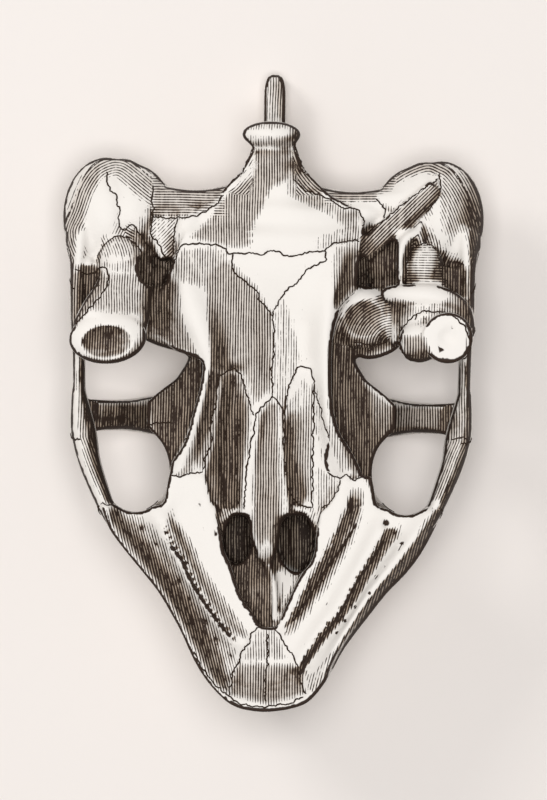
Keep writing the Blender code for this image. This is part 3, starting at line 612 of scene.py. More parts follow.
# %% [markdown]
# ## One skin
# Each group of forms becomes one closed skin by a voxel remesh. The hollows are cut out, the late forms
# are added, and a last remesh with a fine grain gives the skin that all detail is worked into. Joining
# the forms by booleans instead would leave hard creases, which bone doesn't have.

# %% Tools for the skin
ROUGH_GRAIN = 0.6             # size of the voxels, in mm
FINE_GRAIN = 0.45


def make_object(name, bm):
    """Puts a bmesh into a new object of the scene."""
    mesh = bpy.data.meshes.new(name)
    bmesh.ops.recalc_face_normals(bm, faces=bm.faces)
    bm.to_mesh(mesh)
    bm.free()
    shape = bpy.data.objects.new(name, mesh)
    bpy.context.scene.collection.objects.link(shape)
    return shape


def settle(shape):
    """Replaces an object's mesh by what its modifiers make of it."""
    depsgraph = bpy.context.evaluated_depsgraph_get()
    mesh = bpy.data.meshes.new_from_object(shape.evaluated_get(depsgraph))
    shape.modifiers.clear()
    shape.data = mesh


def blend(shape, voxel, passes=0):
    """Melts overlapping forms into one skin and softens it."""
    remesh = shape.modifiers.new("Blend", "REMESH")
    remesh.mode = "VOXEL"
    remesh.voxel_size = voxel * MM
    if passes:
        soft = shape.modifiers.new("Soften", "SMOOTH")
        soft.factor = 0.5
        soft.iterations = passes
    settle(shape)


def add_more(shape, form):
    """Adds forms to the settled mesh of a shape, still as loose bodies."""
    bm = bmesh.new()
    bm.from_mesh(shape.data)
    extra = bmesh.new()
    form(extra)
    bmesh.ops.recalc_face_normals(extra, faces=extra.faces)
    spare = bpy.data.meshes.new("extra")
    extra.to_mesh(spare)
    extra.free()
    bm.from_mesh(spare)
    bpy.data.meshes.remove(spare)
    bm.to_mesh(shape.data)
    bm.free()


def cut(shape, form):
    """Takes the melted volume of some forms out of the shape."""
    bm = bmesh.new()
    form(bm)
    cutter = make_object("cutter", bm)
    blend(cutter, ROUGH_GRAIN)
    step = shape.modifiers.new("Cut", "BOOLEAN")
    step.operation = "DIFFERENCE"
    step.solver = "MANIFOLD"
    step.object = cutter
    settle(shape)
    bpy.data.objects.remove(cutter, do_unlink=True)

# %% Melt the forms
bm = bmesh.new()
snout(bm)
feet(bm)
skull = make_object("skull_bone", bm)
blend(skull, ROUGH_GRAIN)
print("jaws:", len(skull.data.polygons), "faces")

# %% [markdown]
# ## Jaws
# The grinding surface of each jaw has a biting rim, a trough and a serrated ridge. Lines with a known
# depth under the rim run along them, and the skin is stretched up or down to pass through them.

# %% Lines along the jaws
JAW_LINES = [
    (0.0, RIM_LEFT + [(0, -79.2)] + RIM_RIGHT[:2]),
    (5.5, [(-36, -30.5), (-30, -38.5), (-24, -47), (-17, -57), (-10.5, -67), (-9.5, -71)]),
    (2.0, [(-26.5, -33), (-21.5, -42.5), (-17, -51), (-12, -58), (-6, -62.5)]),
    (4.6, [(-23, -31), (-19.5, -39), (-14, -48), (-9, -55.8), (-5.5, -59.5)]),
    (4.0, [(-16.3, -21.5), (-13.5, -28)] + V_LEFT[1:]),
    (9.0, RIM_RIGHT[2:]),
    (0.4, [(13, -73), (17, -64), (24, -52), (31, -43), (36, -36.5), (40.5, -30)]),
    (4.8, [(8, -70.5), (15, -60.5), (19, -56), (25, -45), (30, -36)]),
    (1.6, [(7, -68.5), (13.3, -59), (17, -54.5), (22.8, -44), (28, -34.5)]),
    (4.0, [(5.5, -61), (12, -51), (19.5, -38), (23.5, -27)]),
    (6.2, [(4.6, -59), (9.5, -52), (15, -43), (18.5, -38), (21.8, -28)]),
    (3.6, [(4.2, -58.2), (8, -50.5), (13.5, -39.5), (18.5, -27)]),
    (4.0, V_RIGHT),
    (3.2, [(-3, -61), (0.5, -60.5), (3, -61.5)]),
    (4.4, [(-5, -70), (0, -73), (5, -71)]),
]
print(len(JAW_LINES), "lines along the jaws, each with its depth under the rim")

# %% Shape the jaws
JAW_FOOT = 38.0               # the jaws' lines are worked in above this height


def read_points(mesh, name="co"):
    """Places or normals of a mesh's points, as rows of x, y and z."""
    values = np.empty(len(mesh.vertices) * 3)
    mesh.vertices.foreach_get(name, values)
    return values.reshape(-1, 3)


def move_points(mesh, places):
    """Puts the points of a mesh at new places."""
    mesh.vertices.foreach_set("co", places.ravel())
    mesh.update()


def shape_jaws(mesh):
    """Stretches the top of the snout up or down so that it passes through the lines along the jaws."""
    place = read_points(mesh) / MM
    lines = [smooth_line([(x, y, drop) for x, y in line], 3) for drop, line in JAW_LINES]
    rim = rim_height(place[:, 1])
    stretch = (rim - through_lines(place[:, :2], lines) - JAW_FOOT) / (rim - JAW_FOOT)
    above = np.clip(place[:, 2] - JAW_FOOT, 0, None)
    place[:, 2] += above * (stretch - 1)
    move_points(mesh, place * MM)
    print("jaws stretched by", round(float(stretch.min()), 2), "to", round(float(stretch.max()), 2))


shape_jaws(skull.data)

# %% Add the rest
def small_forms(bm):
    """Arched upper edges of the nose passages, and fuller lobes behind the ears."""
    add_bar(bm, [(-12.6, -36, 40, 1.2, 3), (-12.0, -33, 41, 1.6, 2.6), (-10, -30.4, 41, 1.3, 2.6),
                 (-7.4, -29.6, 41.6, 1.1, 2.6), (-4.8, -30.8, 42.6, 1.2, 2.6), (-3.4, -34, 42.6, 1.2, 2.6)])
    add_bar(bm, [(0.6, -34.4, 42.6, 1.0, 2.6), (2.4, -31.0, 42.6, 1.4, 2.6), (5.4, -29.4, 41.6, 1.2, 2.6),
                 (8.4, -29.4, 41.6, 1.2, 2.6), (10.8, -31.2, 41.6, 1.6, 2.6), (11.9, -35, 40, 1.2, 3)])
    for side in (-1, 1):
        add_ball(bm, (side * 38, 47.4, 26), (8.4, 10.8, 13))


add_more(skull, bone_forms)
blend(skull, ROUGH_GRAIN)
cut(skull, hollows)
add_more(skull, late_forms)
add_more(skull, small_forms)
blend(skull, ROUGH_GRAIN)
cut(skull, bowls)
blend(skull, FINE_GRAIN, 4)
print("fine skin:", len(skull.data.polygons), "faces")

# %% [markdown]
# ## Flat on the table
# The roof is a dome, and a dome rocks. The skull is lowered by a little less than a millimetre, and what
# would lie under the table is pressed flat, so that it rests on a real face.

# %% Down on the table
REST_CUT = 0.7                # how much of the roof's dome the table takes off

skull.data.transform(Matrix.Translation((0, 0, -REST_CUT * MM)))
place = read_points(skull.data)
place[:, 2] = np.maximum(place[:, 2], 0)
move_points(skull.data, place)
print("on the table:", int((place[:, 2] == 0).sum()), "points")

# %% [markdown]
# ## Fewer triangles
# Half a millimetre is finer than the flat stretches need. Decimate keeps the triangles where the bone
# bends and takes them where it is smooth.

# %% Thin out
MOST_TRIANGLES = 192000
skull.data.calc_loop_triangles()
share = MOST_TRIANGLES / len(skull.data.loop_triangles)
if share < 1:
    step = skull.modifiers.new("Thin out", "DECIMATE")
    step.ratio = share
    settle(skull)
print("skin after thinning:", len(skull.data.polygons), "faces")

# %% [markdown]
# ## Sutures, pits and teeth
# Sutures are the seams where the bones of a young skull met. They run over the palate as thin crooked
# lines. Their places are given in plan, and for the sides by y and z. Everything that follows them needs
# one measure: how far a point of the skin is from a line, and how far along the line that is.

# %% Sutures
INNER_SEAM = [(21.5, -33), (18.5, -38), (15, -43), (11.5, -48.5), (9.5, -52), (6, -57)]
SUTURES = [
    # Palate and the base behind it
    [(0, 20), (0.3, 15), (0.5, 10), (0, 5), (0.2, -1)],
    [(-10, 34.3), (-10.2, 31), (-8.5, 28.5), (-6, 26.8), (-4, 25), (-3, 22.5), (-1.5, 21), (0, 19)],
    [(13, 35.3), (13, 33), (11.5, 32), (9, 31), (7, 28.5), (5.5, 26.5), (4, 26), (2, 23), (0, 19)],
    [(-25, 32), (-23, 36), (-21, 36.8), (-16, 36.6), (-12.5, 36), (-11, 34.5), (-6, 34.4), (-2, 34.3),
     (-1, 35.2), (1, 35), (4, 33.8), (7, 34.3), (12, 35.3), (15, 36.8), (18.5, 37.8), (21.5, 37.7)],
    [(5, 53), (7, 51), (12, 49), (15, 47.5), (17.5, 46), (20, 46), (22, 44.5), (22.6, 42.5), (22.3, 40)],
    [(-17, -19.8), (-16, -15.5), (-14.8, -13), (-15.3, -10), (-15, -8), (-14, -4), (-13.5, 0), (-13.2, 3),
     (-12, 4.5), (-10, 5.3), (-8, 4.8), (-7.3, 3), (-6.5, 0), (-5.5, -3), (-4.3, -6)],
    [(0.2, -1), (-1.5, -3), (-3.8, -5.8), (-4.2, -9), (-4.3, -11), (-5, -12.5), (-5.3, -16), (-6, -19.5),
     (-6.3, -25), (-6.5, -29.5)],
    [(0.2, -1), (1.6, -2.2), (3.2, -6), (3, -10), (3.3, -15), (3.8, -20), (4.5, -24), (6, -27), (8, -28.5),
     (10.4, -29)],
    [(3.2, -6), (4, 0), (5, 3), (6.2, 5.5), (7, 6.3), (9, 6), (10, 5), (10.6, 1), (10.5, -8), (10.5, -20),
     (10.5, -29)],
    [(10.8, 0.5), (12, -3), (13, -7), (14, -10), (14.5, -11.5)],
    [(17.5, -22), (16.5, -25), (15, -27.5), (13, -29)],
    [(-25, -21.2), (-22.5, -21.6), (-21, -20.8), (-17, -20.3)],
    [(14.2, -20), (17.5, -21.5), (19, -20.5), (20.5, -21.8), (22.7, -21.2)],
    # Snout
    [(-2.5, -58.9), (-4.2, -60.5), (-5, -63), (-6.5, -64.8), (-7, -67), (-8.8, -70), (-9.3, -73),
     (-9.8, -76)],
    [(1.4, -59.2), (3, -61), (4.5, -64), (6.5, -66.5), (7.5, -70), (8.5, -73.5), (9.5, -75.2)],
    [(-0.3, -60.5), (-0.2, -66), (-0.6, -72), (-0.5, -77.5)],
    # Left ear
    [(-42, 54.5), (-41.6, 52), (-41, 50), (-39.5, 48.5), (-39, 46), (-38.3, 44.5), (-38.8, 42.5),
     (-38, 40.5), (-37, 40), (-35.5, 41.5), (-34, 40), (-32, 37), (-30.5, 35.5), (-29, 33)],
    [(-43.3, 31.5), (-43.5, 34), (-42, 36.5), (-40, 38), (-37.5, 38.3), (-35, 37), (-33.5, 35.5), (-33, 33)],
    [(-49.5, 30), (-46.5, 29), (-44.5, 29.3), (-43.3, 30.5), (-42.3, 30.8), (-41.3, 29.5), (-41, 28),
     (-41.5, 25.5), (-44, 22), (-47, 18.5), (-49, 16)],
    [(-30.3, 51.3), (-30.5, 48), (-30.3, 45), (-29.8, 43.3), (-26, 43.2), (-22, 43.3), (-19, 44),
     (-16, 45.5), (-13.5, 47.5), (-12.5, 49)],
    [(-30.3, 43), (-30.6, 40), (-30.2, 38.2), (-29, 37), (-27.5, 34.5), (-26.6, 32)],
    [(-23.8, 43), (-24.6, 40), (-24.9, 37), (-25.2, 33)],
    # Right ear
    [(25.5, 48.5), (27, 47), (28, 45.5), (27.7, 44), (29, 43)],
    [(41.5, 55), (41.7, 52.5), (41.7, 51), (41, 49), (39.5, 47), (38.3, 45)],
    [(22.5, 39.3), (28.5, 43.7), (33, 47.7), (41, 53.7)],
    [(33.2, 27.8), (33.5, 32), (34.5, 35.5), (37.5, 37.3), (40.5, 36), (41.8, 33)],
    # Arch, cheek and bar
    [(45, -11.5), (47.5, -11), (49.3, -11.5)],
    [(-42.3, -28.6), (-39, -29), (-36.5, -29.8)],
    [(-38, -8.8), (-31, -8.4), (-25, -7.8)],
    # Dish and right joint
    [(20.3, 12.4), (22, 12.6), (24.3, 11.6), (27, 12), (29.3, 13.6)],
    [(35.6, 18.2), (36.5, 20.1), (40, 20.5), (44, 19.8), (47.5, 17.2), (49.3, 13), (48.8, 9.8), (47, 8.2)],
    [(36.5, 20), (33.5, 17.6), (31.9, 14.5), (31.8, 11.5), (33, 9.2), (35, 8)],
    # Rims of the jaws
    [(-18.6, -65), (-16, -69.8), (-12, -74.4), (-8.5, -77), (-5, -78.2), (0, -78.4), (5, -77.8), (8.8, -76)],
    INNER_SEAM,
]
# Those on the side walls have y and z, and are the same on both sides.
SIDE_SUTURES = [
    [(-73, 45), (-71.5, 38), (-73, 31), (-71, 26)],
    [(-70, 20), (-62, 17), (-54, 20), (-46, 16), (-38, 19), (-31, 15)],
    [(-52, 19.5), (-50, 12), (-52, 6), (-50, 1)],
    [(-29, 46), (-31, 38), (-28, 30), (-30, 22)],
    [(-11.5, 50), (-12.5, 42), (-11, 34)],
    [(27, 50), (25, 42), (28, 34), (26, 26)],
]
print(len(SUTURES), "sutures and seams on the palate,", len(SIDE_SUTURES), "on each side")

# %% Pits and toothed ridges
# Pits have x, y and a width; teeth a height, a pitch and a line; the painted shadows beside ridges a width
# and a line.
PITS = [
    (-32, -34.5, 0.6), (-28.5, -38.5, 0.5), (-24.5, -41.5, 0.5), (-25, -43.5, 0.5), (-22.5, -47.5, 0.6),
    (-20, -52, 0.5), (-16, -57.5, 0.5), (-13, -62, 0.5), (-9.5, -66, 0.5), (-18.5, -22, 0.5),
    (-18, -24, 0.5), (-17.5, -28, 0.5), (-15.5, -31.5, 0.5), (-13.5, -36, 0.5), (-12, -42, 0.4),
    (29, -32.5, 0.9), (31, -35, 0.5), (33, -37.5, 0.6), (32, -39, 0.5), (30, -41, 0.6), (28.5, -43.5, 0.5),
    (26.5, -46, 0.5), (25, -50, 0.5), (21.5, -53.5, 0.5), (19, -57, 0.5), (17, -60, 0.5), (14, -53, 0.5),
    (-23.2, -9.3, 0.9), (31, 30, 0.8), (-26.6, 27.4, 1.2), (44, 9.8, 0.7), (42, 11, 0.5), (46.6, 11, 0.5),
    (45, 16.5, 0.5), (41, 17, 0.5),
]
TEETH = [
    (0.8, 1.5, [(-26.5, -33), (-25, -36.5), (-23.5, -39.5), (-21, -43), (-20, -45.5), (-18.5, -48.5),
        (-17, -51), (-15.5, -53), (-13.5, -56), (-12, -58), (-9.8, -60.5), (-8.5, -61.8)]),
    (0.5, 1.7, [(29.5, -35.5), (26, -41), (23, -45), (20, -50.5), (18, -54.5), (14.5, -58.5), (12, -62),
        (8, -69)]),
    (0.35, 1.6, [(19.5, -29), (16.5, -36), (13.5, -41.5), (10.5, -47), (8, -52), (5.5, -56.5)]),
]
# Ink lines of painted shadow beside the ridges and the inner seam
SHADOWED_RIDGES = [
    (0.7, [(-24.6, -39), (-21.8, -42.6), (-20.6, -45.5), (-19, -48.5), (-17.4, -51), (-15.8, -53.4),
        (-13.6, -56.4), (-12, -58.4), (-9.8, -61)]),
    (0.45, [(28.5, -37), (25.5, -42), (22.3, -46.5), (19.6, -51.5), (16.5, -57), (13, -61.5), (10, -66.5),
        (8, -70.5)]),
    (0.45, INNER_SEAM),
    (0.65, [(14.7, -12.4), (14.2, -14), (13.8, -16), (13.8, -18), (14.4, -19.8)]),
]
print(len(PITS), "pits,", len(TEETH), "toothed ridges,", len(SHADOWED_RIDGES), "dark ridges")

# %% Measure along a line
def near_line(plan, line, reach):
    """Distance in plan to a line, and how far along it that is, for the points within reach."""
    line = np.array(smooth_line(line, 4))
    gap = np.full(len(plan), 99.0)
    run = np.zeros(len(plan))
    low, high = line.min(axis=0) - reach, line.max(axis=0) + reach
    close = np.nonzero(((plan > low) & (plan < high)).all(axis=1))[0]
    done = 0.0
    for a, b in zip(line, line[1:]):
        way, share = off_stretch(plan[close], a, b)
        length = math.hypot(*(b - a))
        far = np.hypot(*way.T)
        nearer = far < gap[close]
        gap[close[nearer]] = far[nearer]
        run[close[nearer]] = done + share[nearer] * length
        done += length
    return gap, run


def bell(gap, width):
    """1 on a line, and falling off smoothly beside it."""
    return np.exp(-(gap / width) ** 2)


def ripple(run, pitch):
    """A wave along a line."""
    return np.sin(2 * math.pi * run / pitch)

# %% [markdown]
# ## Work the fine relief in
# The skin is now pushed up or down by tenths of a millimetre: a shallow groove along each suture, a small
# hole for each pit, and teeth along the ridges that once carried the horny plates. The pits and the strips
# beside the ridges are also kept as spots, which the finish fills with ink: painted shade in the pits and a
# painted shadow beside the ridges.

# %% Fine relief
GROOVE, GROOVE_WIDTH = 0.25, 0.45     # of a suture, in mm
PIT_DEPTH = 1.3               # in widths of the pit
TOOTH_WIDTH = 0.9
UNDERSIDE = 27.0              # what lies lower than this is not reached by the lines of the palate
FACES_UP = 0.15               # nor is what faces up less than this

place_of = read_points(skull.data) / MM
normals = read_points(skull.data, "normal")
plan = place_of[:, :2].copy()
plan_x, plan_y = plan.T
upper = (place_of[:, 2] > UNDERSIDE) & (normals[:, 2] > FACES_UP)
lift = np.zeros(len(plan))
pit_and_ridge_shade = np.zeros(len(plan))
for line in SUTURES:
    lift -= GROOVE * bell(near_line(plan, line, 2)[0], GROOVE_WIDTH)
# Each pit is a small hole, and its ink is painted shade
for x, y, width in PITS:
    dent = bell(np.hypot(plan_x - x, plan_y - y), width)
    lift -= PIT_DEPTH * width * dent
    pit_and_ridge_shade = np.maximum(pit_and_ridge_shade, dent)
for height, pitch, line in TEETH:
    gap, run = near_line(plan, line, 3)
    wave = ripple(run, pitch) + 0.5 * ripple(run, pitch * 2.7)
    lift += height * wave * bell(gap, TOOTH_WIDTH)
# Ragged ink lines of painted shadow beside the ridges
for width, line in SHADOWED_RIDGES:
    gap, run = near_line(plan, line, 3)
    ragged = 0.6 + 0.4 * ripple(run, 1.9) * ripple(run, 5.3)
    pit_and_ridge_shade = np.maximum(pit_and_ridge_shade, bell(gap, width * ragged + 0.1))
place_of[:, 2] += lift * upper
move_points(skull.data, place_of * MM)
print("relief from", round(float(lift.min()), 2), "to", round(float(lift.max()), 2), "mm")

# %% [markdown]
# ## Dark thread in the sutures
# What makes a suture show on an old skull is the dirt in it. A thin dark thread lies in each groove: a
# chain of small rings, dropped onto the skin by a ray from above, or from the side for the sutures of the
# walls, and closed at both ends. Where the bone falls away under the line, the thread ends and a new one
# starts. A groove alone would be too fine to hold a dark line.

# %% Helpers for threads
THREAD = 0.21                 # radius, in mm
THREAD_SIDES = 6
WANDER = 0.504                # strength of a suture's straying to both sides
STEP = 0.4                    # length of a thread's stretches


def crooked(line, seed):
    """Points at even distances along a line that strays a little to both sides."""
    smooth = np.array(smooth_line(line, 5))
    length = np.hypot(*np.diff(smooth, axis=0).T).sum()
    points = even_line(smooth, max(int(length / STEP), 4))
    ahead = np.gradient(points, axis=0)
    side = np.stack([-ahead[:, 1], ahead[:, 0]], axis=1) / np.hypot(*ahead.T)[:, None]
    for k in range(1, len(points) - 1):
        x, y = points[k]
        stray = noise.noise(Vector((x * 0.8, y * 0.8, seed)))
        stray += 0.6 * noise.noise(Vector((x * 2.1, y * 2.1, seed + 5)))
        points[k] += side[k] * stray * WANDER
    return [tuple(point) for point in points]


def add_thread(bm, points, down):
    """A closed tube along points of x, y, z in mm, on a skin that lies in the direction down."""
    rings = []
    for k, point in enumerate(points):
        ahead = Vector(points[min(k + 1, len(points) - 1)]) - Vector(points[max(k - 1, 0)])
        along = ahead.normalized()
        side = down.cross(along).normalized()
        up = side.cross(along)
        thick = THREAD * (0.55 if k in (0, len(points) - 1) else 1)
        thick *= 1 + 0.35 * noise.noise(Vector(point) * 0.9)
        ring = []
        for s in range(THREAD_SIDES):
            a = 2 * math.pi * s / THREAD_SIDES
            ring.append(Vector(point) + side * thick * math.cos(a) + up * thick * math.sin(a))
        rings.append(ring)
    add_loft(bm, rings)

# %% Threads
START = 80                    # how far out the rays start, in mm
JUMP = 1.6                    # a step of the skin that ends a thread
NO_SKIN = -99.0               # height where a ray meets nothing
OFF_BONE = (999, 999)         # a last place beside the skull, which ends a line's last thread
NEAR_MIDLINE = 6              # threads of the sides stay further out than this


def lay_threads(bm, lines, down, lowest):
    """Drops lines onto the skin and makes threads of the stretches that lie on it."""
    count = 0
    for number, line in enumerate(lines):
        stretch = []
        for a, b in crooked(line, number) + [OFF_BONE]:
            start = Vector((a, b, START)) if down.z else Vector((-START * down.x, a, b))
            hit = skin_tree.ray_cast(start * MM, down)[0]
            height = NO_SKIN if hit is None else -hit.dot(down) / MM
            if height < lowest or (stretch and abs(height - last) > JUMP):
                if len(stretch) > 3:
                    add_thread(bm, stretch, down)
                    count += 1
                stretch = []
            if height >= lowest:
                stretch.append(hit / MM)
            last = height
    return count


skin_tree = BVHTree.FromPolygons([v.co for v in skull.data.vertices],
                                 [p.vertices for p in skull.data.polygons])
bm = bmesh.new()
count = lay_threads(bm, SUTURES, Vector((0, 0, -1)), UNDERSIDE)
for inward in (1, -1):
    count += lay_threads(bm, SIDE_SUTURES, Vector((inward, 0, 0)), NEAR_MIDLINE)
sutures = make_object("suture_lines", bm)
print(count, "threads,", len(sutures.data.polygons), "faces")

# %% [markdown]
# ## Where stain and painted shade gather
# Old bone is pale where hands and air reach it and brown where dirt and oil stay, and the finish also paints
# shade into the same hollows. Rays from each point tell how much sky it sees. The share that is hidden is
# measured once and kept as a value on the skin, so that the finish doesn't have to work it out anew.

# %% Measure the hollows
RAYS = 20
REACH = 26.0                  # how far a wall can hide a point, in mm
OFF_SKIN = 0.0003             # how far over the skin a ray starts, in metres


def sky_directions(count):
    """Directions spread evenly over the upper half of a ball."""
    turn = math.pi * (3 - math.sqrt(5))
    steps = [(k + 0.5) / count for k in range(count)]
    return [Vector((math.sqrt(1 - s * s) * math.cos(k * turn), math.sqrt(1 - s * s) * math.sin(k * turn), s))
            for k, s in enumerate(steps)]


def measure_hollows(mesh):
    """Share of each point's sky that the bone hides, seen along the point's own normal."""
    sky = sky_directions(RAYS)
    hidden = np.zeros(len(mesh.vertices), np.float32)
    for v in mesh.vertices:
        spin = Vector((0, 0, 1)).rotation_difference(v.normal)
        start = v.co + v.normal * OFF_SKIN
        blocked = 0.0
        for ray in sky:
            hit = skin_tree.ray_cast(start, spin @ ray, REACH * MM)
            if hit[0] is not None:
                blocked += 1 - hit[3] / (REACH * MM)
        hidden[v.index] = blocked / RAYS
    return hidden


def keep_value(name, values):
    """Keeps one number for each point of the skin, for the finish to read."""
    layer = skull.data.attributes.new(name, "FLOAT", "POINT")
    layer.data.foreach_set("value", values.astype(np.float32))
    print(name, round(float(values.min()), 2), "to", round(float(values.max()), 2))


hollow = measure_hollows(skull.data)
# Painted shade in the pits and painted shadow beside the ridges, on what faces up
keep_value("pit_ridge_shade", pit_and_ridge_shade * upper)

# %% [markdown]
# ## Patches of painted shade
# Some parts of the skull get painted shade beyond what their depth gives: the troughs of the palate, the
# walls by the ears, the outer slopes of the jaws, where they turn from the light. Others are kept paler, as
# painted light. Each patch is an outline in plan with a strength and a soft edge. It could be painted on the
# skin, but an outline can be read and changed.

# %% Patches of the palate
SHADE_PATCHES = [
    # Palate, left half
    (0.44, [(-13.5, 3.5), (-8, 4.5), (-5, -4), (-5.2, -10), (-6.5, -20), (-7, -29), (-12.6, -29),
        (-16.5, -20), (-15, -9)]),
    (0.48, [(-15.6, 6), (-16, 14), (-16.4, 22), (-17, 29), (-12, 33), (-4, 26), (0, 19), (0, 1), (-4, -3),
        (-7, 5)]),
    (0.40, [(-15.4, 6), (-16.6, -4), (-18.6, -12), (-19, -19), (-16, -19), (-14, -10), (-13.6, 3)]),
    (0.20, [(-20, -13), (-23, -15), (-25, -20), (-17, -19), (-18, -12)]),
    (0.46, [(-30.6, 19), (-28.6, 24), (-26.5, 28), (-23.5, 27), (-23, 20), (-20, 13), (-18, 8.5),
        (-23.5, 10), (-28, 13)]),
    (0.34, [(-25.5, 31), (-22.6, 35.6), (-12, 35.5), (-11, 30), (-17, 26), (-22.6, 27)]),
    (0.50, [(-10.5, 50.4), (-5.4, 54), (-5, 61), (3.6, 61), (4, 53.4), (-0.4, 51), (-2, 47), (-4.6, 42),
        (-5, 36), (-10.5, 36), (-21, 38.2), (-17, 42), (-13.6, 47)]),
    (0.44, [(-15, 51), (-11, 54), (-8, 58), (-6.2, 61), (-5.2, 58.6), (-8, 54.6), (-12, 51.4)]),
    # Vomer and the right half
    (0.56, [(-3.2, -6), (-0.5, -2.5), (1.6, -3), (2.4, -20), (2.8, -32), (0.8, -38.6), (-0.8, -37),
        (-2.6, -39), (-4.2, -35), (-3.8, -18)]),
    (0.20, [(2.4, -8), (4, -8), (4.8, -24), (4.6, -29.5), (2.6, -31)]),
    (0.26, [(0.6, 18), (0.8, -1), (3.4, -5), (4.4, 0), (6.4, 7), (5.5, 18), (2, 24)]),
    (0.40, [(4.4, -5), (10, -4.5), (10.3, -26), (7, -27), (5, -22), (4, -14)]),
    (0.16, [(4.6, -2), (7, 4), (9.6, 1), (10, -5), (5, -6)]),
    (0.18, [(11.2, -19), (15.5, -21), (16, -25), (11.4, -28)]),
    (0.30, [(14.8, -2), (15.4, -8), (18, -13), (21.6, -14.8), (22.4, -20), (17, -19.5), (14.6, -12),
        (13.8, -2)]),
    (0.38, [(16, 20), (21.2, 27), (21.8, 37), (15.5, 36), (14.8, 27)]),
    (0.34, [(3.6, 53), (8, 50), (13, 48.6), (18, 45.8), (21.6, 44.8), (23, 42), (22, 37.6), (17, 37),
        (17.4, 41), (14, 44.6), (9, 46.6), (4, 48.6)]),
    (0.22, [(9.4, 35.6), (10.4, 39.6), (13, 39.4), (17, 41), (17, 37)]),
    (0.52, [(5, 61.4), (3.6, 57), (4.4, 52.6), (8, 50), (12, 49.6), (15, 50.4), (11, 52.6), (7.4, 57)]),
    (0.50, [(12, 50.6), (16, 48), (25.6, 47.6), (26.4, 50.4), (18, 50.4)]),
    (0.40, [(22.6, 38), (22.8, 43), (29, 43.4), (31, 44.4), (25, 39.4)]),
    (0.34, [(-2.6, 68), (-2.6, 79), (0.6, 79), (0.6, 68)]),
    (0.60, [(0.2, 68), (0.2, 79.4), (3.2, 79.4), (3.2, 67.4)]),
    (0.26, [(-8, 64), (-6, 61), (6, 60.8), (6.6, 64), (0, 63.6)]),
    (0.24, [(-7, 65.6), (-4, 68), (4, 68), (6.6, 64.6), (4.6, 63.4), (3.4, 65.6)]),
]
print(len(SHADE_PATCHES), "patches on the palate")

# %% Patches of the nose and the jaws
SHADE_PATCHES += [
    # Nose passages and the V in front of them
    (0.55, [(-12.5, -34), (-8, -30.4), (-4.4, -33), (-3.6, -41), (-8.5, -45), (-11, -40)]),
    (0.55, [(1.4, -35), (6, -30), (11.6, -33.5), (9.6, -42), (6.6, -46), (4, -43)]),
    (0.36, [(-9, -42.5), (-3, -42), (1, -44), (1.0, -57), (-2, -59), (-6.5, -52)]),
    # Jaws
    (0.34, [(-41, -30), (-36.5, -31), (-30, -38.5), (-24, -47), (-17, -57), (-11, -67), (-10, -74.5),
        (-12.2, -74.6), (-16, -70), (-21, -60.4), (-31.2, -45.2), (-39, -35.5)]),
    (0.44, [(-41, -30.5), (-38.4, -32.5), (-34, -39), (-28, -45.5), (-22.5, -53.5), (-18, -62),
        (-13.5, -70), (-10.4, -75), (-12.2, -74.6), (-16, -70), (-21, -60.4), (-31.2, -45.2), (-39, -35.5)]),
    (0.44, [(-25.6, -31), (-21.6, -35), (-16.6, -44), (-12, -51), (-6.4, -58.6), (-5.6, -61.4),
        (-10, -60.4), (-14, -54), (-18, -48), (-22, -41), (-25, -36)]),
    (0.36, [(43.5, -27.8), (41.4, -29), (37.4, -36), (33, -41.4), (29.4, -45.6), (25, -51.4), (21, -58),
        (17.6, -63.6), (13, -70), (9.5, -74), (12.3, -75), (18.3, -65), (25.6, -55), (34.3, -45),
        (40.7, -35)]),
    (0.30, [(40.6, -28.6), (36, -36), (31, -42), (27, -47), (22.6, -53), (19.4, -59), (15.6, -64.6),
        (10, -71.6), (16, -66), (26, -51), (35, -40)]),
    (0.42, [(20.6, -24), (19, -29), (15.8, -35), (12.8, -41), (9.8, -46), (7.8, -51), (5.8, -56),
        (3.8, -60.6), (5.5, -60.6), (9.5, -56), (12.5, -51), (16.5, -45), (20.5, -38), (22.5, -32),
        (23.5, -24.6)]),
    (0.32, [(29.5, -34.5), (27, -39), (24, -43.6), (21, -49), (18.4, -54), (14.8, -58), (12, -62),
        (9, -66.6), (8, -69.6), (11, -66), (15, -60.5), (19, -56), (22.4, -50.6), (25.4, -44.6),
        (28.4, -39)]),
    (0.48, [(-7, -68), (7, -68), (9.4, -75), (0, -78), (-9.6, -75.6)]),
    (0.32, [(-2.5, -59.4), (-5.4, -64), (-6, -67), (4.6, -66.4), (1.2, -59.4)]),
]
print(len(SHADE_PATCHES), "patches with the nose and the jaws")

